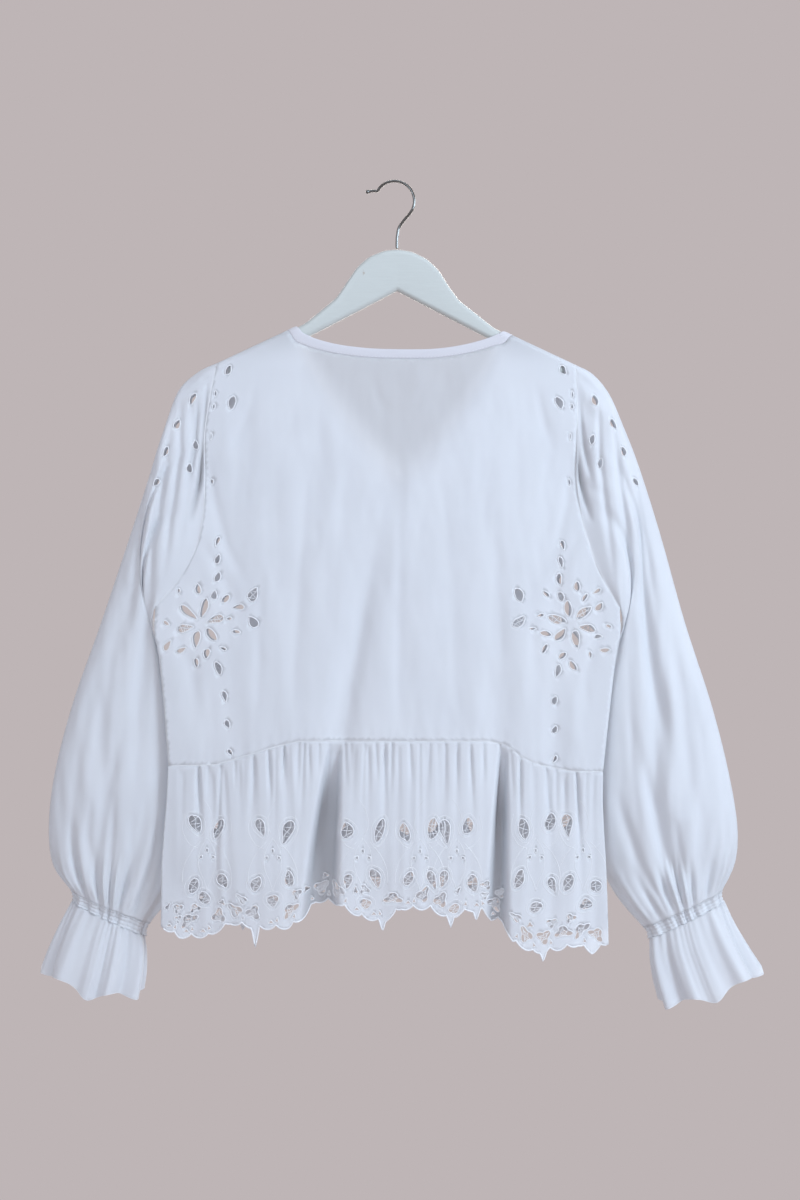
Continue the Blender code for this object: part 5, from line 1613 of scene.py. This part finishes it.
def smooth_neck(side, column):
    """Places along the neck edge or the binding's seam, evenly curved in the round."""
    line = neck_line(BACK_NECK if side == BACK else FRONT_NECK, column)
    x, z = line[:, 0], shoulder_top(line[:, 0]) + ROLL_EXTRA - line[:, 1]
    lengths = np.hypot(np.diff(x), np.diff(z))
    along_line = np.concatenate([[0.0], np.cumsum(lengths)]) / lengths.sum()
    places = np.linspace(0.0, 1.0, NECK_STEPS)
    if side == BACK:
        x, z = through(np.column_stack([along_line, x, z]), places).T
    else:
        x, z = np.interp(places, along_line, x), np.interp(places, along_line, z)
    drop = drop_of(x, z)
    drop[[0, -1]] = 0.0
    return np.stack([x, np.maximum(drop, 0.0)], axis=1)


def fine_bodice(side, cotton, thread):
    name = f"bodice_{END[side]}"
    surface = body_surface(name, side)
    neck = smooth_neck(side, 2)
    shares = ring_share(np.linspace(0.0, math.pi, ARMHOLE_STEPS))
    left, right = (np.stack(armhole(arm, shares), axis=1) for arm in ARMS)
    waist = [(x, drop_of(x, waist_z(x))) for x in np.linspace(*WAIST_ENDS[::-1], WAIST_STEPS)]
    right_side = [(x, drop_of(x, z)) for x, z in side_stops(BODICE_SIDE_STOPS, 1)]
    left_side = [(x, drop_of(x, z)) for x, z in side_stops(BODICE_SIDE_STOPS[::-1], 0)]
    outline = [*neck, *right, *right_side, *waist, *left_side, *left[::-1]]
    rows = side_flower("left", side) + side_flower("right", side)
    if side == BACK:
        rows += [*SHOULDER_EYELETS["left"], *SHOULDER_EYELETS["right"]]
    work = Cutwork(surface, SMALL_STEPS, side, np.array(outline))
    for number, (x, z, *sizes) in enumerate(rows):
        work.add_petal(body_cloth(x, z), *varied(number, *sizes))
    for arm in ARMS:
        for x, z, *sizes in armhole_eyes(arm) + side_buds(arm):
            work.add_petal(body_cloth(x, z), *sizes, least=BODICE_CLEARANCE)
    for seam in (waist, left[1:-1], right[1:-1]):
        work.add_cord(seam, 0.0, SEAM_ROUND)

    def spread_surface(u, v):
        x, drop = unspread(np.stack([np.ravel(u), np.ravel(v)], axis=1)).T
        return surface(x, drop).reshape(*np.shape(u), 3)

    # Painted shade: the back is darker inside the front's V neck, where no second layer of cloth lies behind
    # it
    def painted_shade_tone_of(corners):
        if side == FRONT:
            return np.ones(len(corners))
        x, z = corners[:, 0], corners[:, 2]
        line = [(row[0], row[1]) for row in FRONT_NECK if row[1] is not None]
        return 1.0 - FRONT_V_SHADE * ramp(-V_SOFTNESS, V_SOFTNESS, z - along(line, x))

    cut = [spread(hole) for hole in work.holes]
    wide = dense(spread(outline))
    cloth = cloth_piece(name, spread_surface, wide, cut, (1.0, 1.0), SMALL_STEPS, side, cotton, painted_shade_tone_of)
    return cloth, add_cords(f"{name}_satin", work.cords, thread)


def fine_binding(side, cotton, thread):
    name = f"neck_binding_{END[side]}"
    edge, seam = smooth_neck(side, 0), smooth_neck(side, 2)
    across, crown = np.array(BINDING_SECTION).T
    flat = (edge[:, None] + (seam - edge)[:, None] * across[None, :, None]).reshape(-1, 2)

    def surface(x, drop):
        return body_point(x, drop, side)

    out = on_cloth(surface, flat, SMALL_STEPS, side, 0.0)
    normals = on_cloth(surface, flat, SMALL_STEPS, side, 1.0) - out
    lift = np.tile(crown, NECK_STEPS)[:, None] + BINDING_LIFT
    corners = np.concatenate([out + normals * lift, out - normals * BINDING_UNDER])
    faces = wall_faces(corners[: len(out)], normals, grid_triples(NECK_STEPS, len(across)))
    band_piece = add_mesh(f"{name}_cloth", corners, faces, cotton, np.concatenate([flat, flat]))
    stitch_row = edge + (seam - edge) * STITCH_SHARE
    path = on_cloth(surface, stitch_row, SMALL_STEPS, side, STITCH_LIFT)
    lines = [(path[i : i + 2], STITCH, False) for i in range(4, len(path) - 5, 2)]
    return band_piece, add_cords(f"{name}_stitches", lines, thread)


def lily_lines(x, number):
    """Raised outlines of a lily: two long petals, a stem and a leaf, in cloth coordinates."""
    turn = -1.0 if number % 2 else 1.0
    lines = [np.array(line) * (sign, 1.0) for sign in (-1.0, 1.0) for line in LILY_SIDE]
    lines.append(np.array(LILY_STEM) * (turn, 1.0))
    found = []
    for line in lines:
        places = np.arange(len(line), dtype=float)
        table = np.column_stack([places, line + (x, PEPLUM_FLOWER_Z)])
        found.append(through(table, np.linspace(0.0, len(line) - 1.0, LILY_STEPS)))
    return found


def hem_eyes(side):
    """Openings in rows along the hem, the large ones with a web of bars."""
    left, right = (float(edge) for edge in body_edges(HEM_SIDE_Z))
    rows = []
    hem = BACK_HEM if side == BACK else FRONT_HEM
    for rise, half_width, half_height, shift, swing in HEM_ROWS:
        for i in range(int((right - left) / SCALLOP_PITCH)):
            sway = uneven(i, HEM_SWAY, 1.1, rise) if rise > STRAIGHT_ROW_RISE else 0.0
            x = left + (i + 0.5) * SCALLOP_PITCH + shift + sway
            z = float(along(hem, x)) + rise + HEM_SWAY_RISE * sway
            size = 1.0 + HEM_SWAY_SIZE * sway
            turn = uneven(i, swing, 1.9, rise)
            rows.append((x, z, half_width * size, half_height / size, turn, half_width > LEAST_BARRED))
    return rows


def fine_peplum(side, cotton, thread):
    name = f"peplum_{END[side]}"
    surface = peplum_surface(side)
    top = [float(body_edges(waist_z(x))[edge]) for edge, x in enumerate(WAIST_ENDS)]
    outline = [(x, waist_z(x) - JOIN_GAP) for x in np.linspace(*top, PEPLUM_TOP_STEPS)]
    outline += side_stops(PEPLUM_SIDE_STOPS, 1)
    left, right = (float(edge) for edge in body_edges(HEM_SIDE_Z))
    hem = np.linspace(right, left, HEM_STEPS)
    hem_line = np.stack([hem, hem_z(hem, side)], axis=1)
    outline += [*hem_line, *side_stops(PEPLUM_SIDE_STOPS[::-1], 0)]
    border = dense(outline)
    work = Cutwork(surface, SMALL_STEPS, side, border)
    number = 0
    for flower, x in enumerate(PEPLUM_FLOWERS[side]):
        for step_x, step_z, length, width, tilt, on_front in PEPLUM_EYELETS:
            number += 1
            if side == FRONT and not on_front:
                continue
            shift_x, shift_z = uneven(number, 3.0, 2.2), uneven(number, 5.0, 1.4, 1.0)
            place = flat_cloth(x + step_x + shift_x, PEPLUM_FLOWER_Z + step_z + shift_z)
            sizes = varied(number, EYE_SHARE * length, EYE_SHARE * width, tilt)
            work.add_petal(place, *sizes, ringed=True, least=PEPLUM_CLEARANCE)
        for line in lily_lines(x, flower):
            gaps = np.min([distance_to(hole, line) for hole in work.holes], axis=0)
            kept = line[(gaps >= LILY_CLEARANCE) & inside(border, line)]
            if len(kept) > LEAST_LILY_STEPS:
                work.add_cord(kept, OUTLINE_LIFT, OUTLINE)
    for x in PEPLUM_FLOWERS[side]:
        for step_x, step_z, *sizes in FLOWER_SEEDS:
            place = flat_cloth(x + step_x, PEPLUM_FLOWER_Z + step_z)
            work.add_petal(place, *sizes, least=PEPLUM_CLEARANCE)
    for x, z, half_width, half_height, turn, barred in hem_eyes(side):
        shape = opening(half_width, half_height, turn)
        bars = opening_bars(shape) if barred else []
        work.add_eyelet(flat_cloth(x, z), shape, bars, least=HEM_CLEARANCE)
    work.add_cord(hem_line[2:-2] + (0.0, 0.5), HEM_CORD_LIFT, HEM_CORD)

    # Painted shade: the back of the peplum is darker in its two deep recesses
    def painted_shade_tone_of(corners):
        if side == FRONT:
            return np.ones(len(corners))
        return 1.0 - RECESS_SHADE * recess(corners[:, 0], corners[:, 2])

    cloth = cloth_piece(
        name, surface, border, work.holes, PEPLUM_STRETCH, SMALL_STEPS, side, cotton, painted_shade_tone_of
    )
    return cloth, add_cords(f"{name}_satin", work.cords, thread)


def fine_sleeve(name, side, cotton, thread):
    whole = f"sleeve_{name}_{END[side]}"
    surface = sleeve_surface(name, side)
    work = Cutwork(surface, SLEEVE_STEPS, side)
    for x, z, *sizes in SLEEVE_SPRAY[name] if side == BACK else SLEEVE_SPRAY[name][:SPRAY_ON_BOTH]:
        work.add_petal(sleeve_cloth(name, x, z, side), *sizes)
    down = np.linspace(0.0, LAST_ROW, SLEEVE_SIDE_STEPS)[1:-1]
    up = np.linspace(LAST_ROW, 0.0, SLEEVE_SIDE_STEPS)[1:-1]
    outline = [(phi, 0.0) for phi in np.linspace(0.0, math.pi, SLEEVE_CAP_STEPS)]
    outline += [(math.pi, row) for row in down]
    outline += [(phi, LAST_ROW) for phi in np.linspace(math.pi, 0.0, SLEEVE_CUFF_STEPS)]
    outline += [(0.0, row) for row in up]

    # Painted shade: the back of the sleeve is darker along the crease beside the armhole
    def painted_shade_tone_of(corners):
        depth = crease_field(f"armhole_{name}", corners[:, 0], corners[:, 2]) if side == BACK else 0.0
        return np.ones(len(corners)) - ARMHOLE_SHADE * np.clip(depth / ARMHOLE_DEPTH, 0.0, 1.0)

    cloth = cloth_piece(
        whole, surface, outline, work.holes, SLEEVE_STRETCH, SLEEVE_STEPS, side, cotton, painted_shade_tone_of
    )
    return cloth, add_cords(f"{whole}_satin", work.cords, thread)


def ring_shell(name, point, columns, stops, material, cloth_size):
    """A fine closed tube wall round an arm."""
    phi = np.arange(columns) * 2 * math.pi / columns
    grid_phi, grid_stop = np.meshgrid(phi, stops)

    def held(a, b):
        return point(a, np.clip(b, stops[0], stops[-1]))

    middle = point(grid_phi, grid_stop)
    normals = normals_of(held, grid_phi, grid_stop, *SLEEVE_STEPS)
    if (normals * (middle - middle.mean(axis=1, keepdims=True))).sum() < 0:
        normals = -normals
    middle, normals = middle.reshape(-1, 3), normals.reshape(-1, 3)
    faces = wall_faces(middle, normals, grid_triples(len(stops), columns, True))
    half = normals * CLOTH / 2
    around = np.abs(grid_phi / math.pi - 1) * cloth_size
    cloth = np.stack([around.ravel(), (grid_stop * RING_CLOTH_HEIGHT).ravel()], axis=1)
    corners = np.concatenate([middle + half, middle - half])
    return add_mesh(f"{name}_cloth", corners, faces, material, np.tile(cloth, (2, 1)))


def cord_rows(point, count, stops, radius):
    """Closed cords round an arm, one at each stop."""
    phi = np.linspace(0.0, 2 * math.pi, count, endpoint=False)
    return [(point(phi, np.full_like(phi, stop)), radius, True) for stop in stops]


def fine_shirring(name, cotton, thread):
    top = past_seam(CUFF_RINGS[name][0])
    foot = np.array(CUFF_RINGS[name][1], float)

    def point(phi, stop):
        ring = top + (foot - top) * stop[..., None]
        elastic = SHIRRING_FINE * np.cos(6 * math.pi * stop)
        fine = SHIRRING_FINE * np.cos(37 * phi + 2.0 * stop + np.sin(3 * phi))
        lift = SHIRRING_LIFT * np.cos(SHIRRING_WAVES * phi) - SHIRRING_PINCH * np.sin(math.pi * stop)
        return ring_point(ring, phi, lift + elastic + fine)

    stops = np.linspace(0.0, 1.0, SHIRRING_ROWS)
    cloth = ring_shell(f"cuff_shirring_{name}", point, SHIRRING_COLUMNS, stops, cotton, SHIRRING_CLOTH)
    cords = cord_rows(point, ELASTIC_STEPS, ELASTIC_STOPS, ELASTIC)
    return cloth, add_cords(f"cuff_elastic_{name}", cords, thread)


def fine_ruffle(name, cotton, thread):
    start = past_seam(CUFF_RINGS[name][1])
    rings = [(1.0, *start)]
    rings += [(row, *ring) for row, ring in enumerate(CUFF_RINGS[name]) if row > 1]
    axis = ring_axis(CUFF_RINGS[name][-1])

    def point(phi, stop):
        share = (stop - 1.0) / 3.0
        phase = RUFFLE_WAVES * phi + RUFFLE_UNEVEN * np.sin(2 * phi + 0.6)
        size = RUFFLE_TOP_LIFT + (RUFFLE_LIFT - RUFFLE_TOP_LIFT) * share
        if name == "right":
            amount = 1 - PANEL_CALM * bell(1 - np.abs(np.sin(phi)), PANEL_WIDTH)
        else:
            amount = 0.7 + 0.3 * np.sin(2 * phi + 2.2)
        small = RUFFLE_FINE * swaying(phi, *RUFFLE_FINE_WAVES) * (1 - 0.6 * share)
        place = ring_point(through(rings, stop), phi, (size * np.cos(phase) + small) * amount)
        dip = RUFFLE_HEM_WAVE * share**2 * np.sin(phase * 0.5 + 1.0)
        return place + dip[..., None] * axis

    stops = np.linspace(1.0, 4.0, RUFFLE_ROWS)
    cloth = ring_shell(f"cuff_ruffle_{name}", point, RUFFLE_COLUMNS, stops, cotton, RUFFLE_CLOTH)
    cords = cord_rows(point, CUFF_HEM_STEPS, CUFF_HEM_STOPS, CUFF_HEM)
    return cloth, add_cords(f"cuff_hem_{name}", cords, thread)


def fine_hanger(wood):
    """The hanger's rounded body in finer sections."""
    low, high = HANGER_ENDS
    ends = np.array(HANGER_END_STEPS)
    stations = np.sort(np.concatenate([np.linspace(low, high, HANGER_STATIONS), low + ends, high - ends]))
    corners = []
    for x in stations:
        near = x + HANGER_SMOOTHING
        top = np.mean([hanger_outline(np.clip(stop, low, high))[0] for stop in near])
        top = min(top, hanger_outline(x)[0] + HANGER_ROUND_RISE)
        under = hanger_outline(x)[1]
        rounding = math.sqrt(min(1.0, min(x - low, high - x) / HANGER_END_ROUND))
        keep = HANGER_END_KEEP + (1 - HANGER_END_KEEP) * rounding
        half = HANGER_HALF * keep
        middle, tall = (top + under) / 2, (top - under) * keep / 2
        for i in range(HANGER_SIDES):
            angle = 2 * math.pi * i / HANGER_SIDES
            sign = 1.0 if math.sin(angle) >= 0 else -1.0
            height = middle + sign * (tall - half) + half * math.sin(angle)
            corners.append((x, half * math.cos(angle), height))
    size = (len(stations), HANGER_SIDES)
    return add_mesh("hanger_wood", corners, ring_quads(*size) + end_faces(*size), wood)


def fine_hook(chrome):
    """The hook's bent wire on one smooth path, with its bead tip."""
    start, end = HOOK_ARC
    x, z = HOOK_CENTRE
    angles = [math.radians(start + (end - start) * i / HOOK_STEPS) for i in range(HOOK_STEPS + 1)]
    arc = [(x + HOOK_RADIUS * math.cos(angle), z + HOOK_RADIUS * math.sin(angle)) for angle in angles]
    route = np.array([*HOOK_STEM, *arc, *HOOK_TIP])
    length = np.concatenate([[0.0], np.cumsum(np.linalg.norm(np.diff(route, axis=0), axis=1))])
    line = through(np.column_stack([length, route]), np.linspace(0.0, length[-1], HOOK_PATH_STEPS))
    path = np.stack([line[:, 0], np.zeros(len(line)), line[:, 1]], axis=1)
    wire = add_mesh("hook_wire", *tube(path, HOOK_WIRE / 2, sides=HOOK_SIDES), chrome)
    rise, turn = np.linspace(0.0, math.pi, BEAD_RINGS), 2 * math.pi * np.arange(HOOK_SIDES) / HOOK_SIDES
    rise, turn = np.meshgrid(rise, turn, indexing="ij")
    ball = np.stack([np.sin(rise) * np.cos(turn), np.sin(rise) * np.sin(turn), np.cos(rise)], axis=-1)
    corners = path[-1] + HOOK_WIRE / 2 * BEAD_SWELL * ball.reshape(-1, 3)
    faces = [(a, d, c, b) for a, b, c, d in ring_quads(BEAD_RINGS, HOOK_SIDES)]
    return wire, add_mesh("hook_bead", corners, faces, chrome)


def new_material(name):
    material = bpy.data.materials.new(name)
    material.use_nodes = True
    tree = material.node_tree
    return material, tree, tree.nodes["Principled BSDF"]


def feed(tree, node, inputs):
    """Gives each input a number, a colour or the output of another node."""
    for name, value in inputs.items():
        if isinstance(value, bpy.types.NodeSocket):
            tree.links.new(value, node.inputs[name])
        else:
            node.inputs[name].default_value = value
    return node


def add_node(tree, kind, inputs, **settings):
    node = tree.nodes.new(f"ShaderNode{kind}")
    for name, value in settings.items():
        setattr(node, name, value)
    return feed(tree, node, inputs)


def object_place(tree):
    return tree.nodes.new("ShaderNodeTexCoord").outputs["Object"]


def noise_of(tree, source, scale, detail=3.0):
    inputs = {"Scale": scale, "Detail": detail, "Vector": source}
    return add_node(tree, "TexNoise", inputs).outputs["Fac"]


def mixed_colour(tree, share, first, second):
    """A mix of two colours, each a fixed one or the output of another node."""
    ends = [end if isinstance(end, bpy.types.NodeSocket) else (*end, 1.0) for end in (first, second)]
    inputs = {"Factor": share, "A": ends[0], "B": ends[1]}
    return add_node(tree, "Mix", inputs, data_type="RGBA").outputs["Result"]


def arithmetic(tree, operation, first, second):
    return add_node(tree, "Math", {0: first, 1: second}, operation=operation).outputs[0]


def add_bump(tree, shader, height, strength, distance):
    bump = add_node(tree, "Bump", {"Strength": strength, "Distance": distance, "Height": height})
    tree.links.new(bump.outputs["Normal"], shader.inputs["Normal"])


def cotton_material(name, light, dark, weave_depth, through_cloth=0.0):
    """Plain-woven cotton: warp and weft from the cloth's own coordinates."""
    material, tree, shader = new_material(name)
    cloth = add_node(tree, "UVMap", {}, uv_map="cloth").outputs["UV"]
    waves = []
    for direction in ("X", "Y"):
        inputs = {"Scale": WEAVE_SCALE, "Distortion": 0.6, "Detail Scale": 2.0, "Vector": cloth}
        waves.append(add_node(tree, "TexWave", inputs, bands_direction=direction).outputs["Fac"])
    slub = noise_of(tree, cloth, SLUB_SCALE)
    woven = arithmetic(tree, "MULTIPLY", *waves)
    add_bump(tree, shader, arithmetic(tree, "ADD", woven, slub), weave_depth, FIBRE_DEPTH)
    cloudy = noise_of(tree, object_place(tree), CLOUD_SCALE, 2.0)
    cloudy_share = arithmetic(tree, "MULTIPLY", cloudy, CLOUD_SHARE)
    slub_share = arithmetic(tree, "MULTIPLY", slub, 1.0 - CLOUD_SHARE)
    share = arithmetic(tree, "ADD", cloudy_share, slub_share)
    # Painted shade: the colour turns towards SHADE_COLOUR where the piece's painted shade tone is below 1
    painted_shade_tone = add_node(tree, "Attribute", {}, attribute_name="painted_shade_tone").outputs["Fac"]
    colour = mixed_colour(tree, painted_shade_tone, SHADE_COLOUR, mixed_colour(tree, share, dark, light))
    feed(tree, shader, {"Base Color": colour, **COTTON_SHEEN})
    if through_cloth:
        glow = add_node(tree, "BsdfTranslucent", {"Color": colour}).outputs[0]
        both = add_node(tree, "MixShader", {0: through_cloth, 1: shader.outputs[0], 2: glow})
        tree.links.new(both.outputs[0], tree.nodes["Material Output"].inputs["Surface"])
    return material


def thread_material(name, light, dark):
    material, tree, shader = new_material(name)
    fine = noise_of(tree, object_place(tree), THREAD_SCALE, 2.0)
    add_bump(tree, shader, fine, 0.5, FIBRE_DEPTH)
    colour = mixed_colour(tree, fine, dark, light)
    feed(tree, shader, {"Base Color": colour, "Roughness": 0.6, "Sheen Weight": 0.2})
    return material


def wood_material():
    """White paint over close grain, worn to the wood in a few scuffs."""
    material, tree, shader = new_material("painted_wood")
    place = object_place(tree)
    stretched = add_node(tree, "Mapping", {"Scale": GRAIN_STRETCH, "Vector": place}).outputs["Vector"]
    grain = noise_of(tree, stretched, GRAIN_SCALE, 6.0)
    worn = add_node(tree, "ValToRGB", {"Fac": noise_of(tree, place, SCUFF_SCALE, 4.0)})
    for stop, position in zip(worn.color_ramp.elements, SCUFF_LIMITS):
        stop.position = position
    colour = mixed_colour(tree, worn.outputs["Color"], mixed_colour(tree, grain, *PAINT), BARE_WOOD)
    add_bump(tree, shader, grain, 0.25, PAINT_RELIEF)
    feed(tree, shader, {"Base Color": colour, "Roughness": 0.42, "Coat Weight": 0.15})
    return material


def chrome_material():
    material, tree, shader = new_material("chromed_wire")
    drawn = noise_of(tree, object_place(tree), DRAWN_SCALE)
    rough = arithmetic(tree, "ADD", arithmetic(tree, "MULTIPLY", drawn, 0.1), 0.08)
    metal = mixed_colour(tree, drawn, *CHROME)
    feed(tree, shader, {"Base Color": metal, "Metallic": 1.0, "Roughness": rough})
    return material


def floor_material():
    material, tree, shader = new_material("studio_floor")
    soft = noise_of(tree, object_place(tree), 1.5, 2.0)
    feed(tree, shader, {"Base Color": mixed_colour(tree, soft, *FLOOR_COLOURS), "Roughness": 0.95})
    return material


# Studio
BACKDROP = (0.515, 0.462, 0.468)
FLOOR_COLOURS = ((0.50, 0.45, 0.445), (0.53, 0.475, 0.47))
FLOOR_Z = -1.9
FLOOR_RADIUS = 2.0
FLOOR_SIDES = 96
LIGHT_COLOUR = (0.73, 0.87, 1.0)
REAR_COLOUR = (1.0, 0.94, 0.86)
LIGHTS = (  # name, x, y, z, size, watts
    ("key", 2, -1.5, 0.2, 1.1, 55.5),
    ("fill", -1.2, -2.7, 0.2, 2, 28.6),
    ("top", 0.1, -0.7, 1.5, 1.5, 8),
    ("rear", 0.4, 2.2, 0.2, 2.2, 62),
)
AIM = Vector((0.0, 0.0, -0.46))
CAMERA_PLACE = (0.0044, -2.0, -0.460)
CAMERA_LENS = 54.5
CAMERA_SENSOR = 36.0


def add_studio():
    scene = bpy.context.scene
    scene.world = bpy.data.worlds.new("studio")
    scene.world.use_nodes = True
    background = scene.world.node_tree.nodes["Background"]
    background.inputs["Color"].default_value = (*BACKDROP, 1.0)
    background.inputs["Strength"].default_value = 1.0
    for name, x, y, z, size, watts in LIGHTS:
        lamp = bpy.data.lights.new(name, "AREA")
        lamp.shape = "DISK"
        lamp.size = size
        lamp.energy = watts
        lamp.color = REAR_COLOUR if name == "rear" else LIGHT_COLOUR
        light = add_object(name, lamp)
        light.location = (x, y, z)
        light.rotation_euler = (AIM - Vector((x, y, z))).to_track_quat("-Z", "Y").to_euler()
    angles = 2 * math.pi * np.arange(FLOOR_SIDES) / FLOOR_SIDES
    ring = [(FLOOR_RADIUS * math.cos(turn), FLOOR_RADIUS * math.sin(turn), FLOOR_Z) for turn in angles]
    mesh = bpy.data.meshes.new("floor")
    mesh.from_pydata(ring, [], [tuple(range(FLOOR_SIDES))])
    mesh.materials.append(floor_material())
    add_object("floor", mesh)
    lens = bpy.data.cameras.new("photo_angle")
    lens.lens = CAMERA_LENS
    lens.sensor_width = CAMERA_SENSOR
    lens.sensor_fit = "VERTICAL"
    lens.sensor_height = CAMERA_SENSOR
    scene.camera = add_object("photo_angle", lens)
    scene.camera.location = CAMERA_PLACE
    scene.camera.rotation_euler = (math.pi / 2, 0.0, 0.0)
    scene.view_settings.view_transform = "Standard"


def main():
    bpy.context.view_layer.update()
    cotton = cotton_material("cotton_weave", *COTTON, 0.35, 0.35)
    # The binding's cotton is darker than the body's: painted shade
    shaded_binding_cotton = cotton_material("binding_weave_shaded", *SHADED_BINDING, 0.3)
    thread = thread_material("satin_thread", *THREAD)
    wood, chrome = wood_material(), chrome_material()
    add_studio()
    dress(fine_hanger(wood), "hanger_body")
    wire, bead = fine_hook(chrome)
    dress(wire, "hanger_hook")
    dress(bead)
    for side, end in END.items():
        clothe(fine_bodice(side, cotton, thread), f"bodice_{end}")
        clothe(fine_binding(side, shaded_binding_cotton, thread), f"neck_binding_{end}")
        clothe(fine_peplum(side, cotton, thread), f"peplum_{end}")
    for name in ARMS:
        for side, end in END.items():
            clothe(fine_sleeve(name, side, cotton, thread), f"sleeve_{name}_{end}")
        clothe(fine_shirring(name, cotton, thread), f"cuff_shirring_{name}")
        clothe(fine_ruffle(name, cotton, thread), f"cuff_ruffle_{name}")


def dress(piece, node=None):
    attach(piece, "root")
    if node:
        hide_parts(node)


def clothe(made, node):
    """A sheet and its cords, fixed to the root body, with the solid piece that the sheet stands for hidden.
    """
    cloth, cords = made
    dress(cloth, node)
    dress(cords)


for item in list(bpy.data.objects):
    bpy.data.objects.remove(item, do_unlink=True)
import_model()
main()
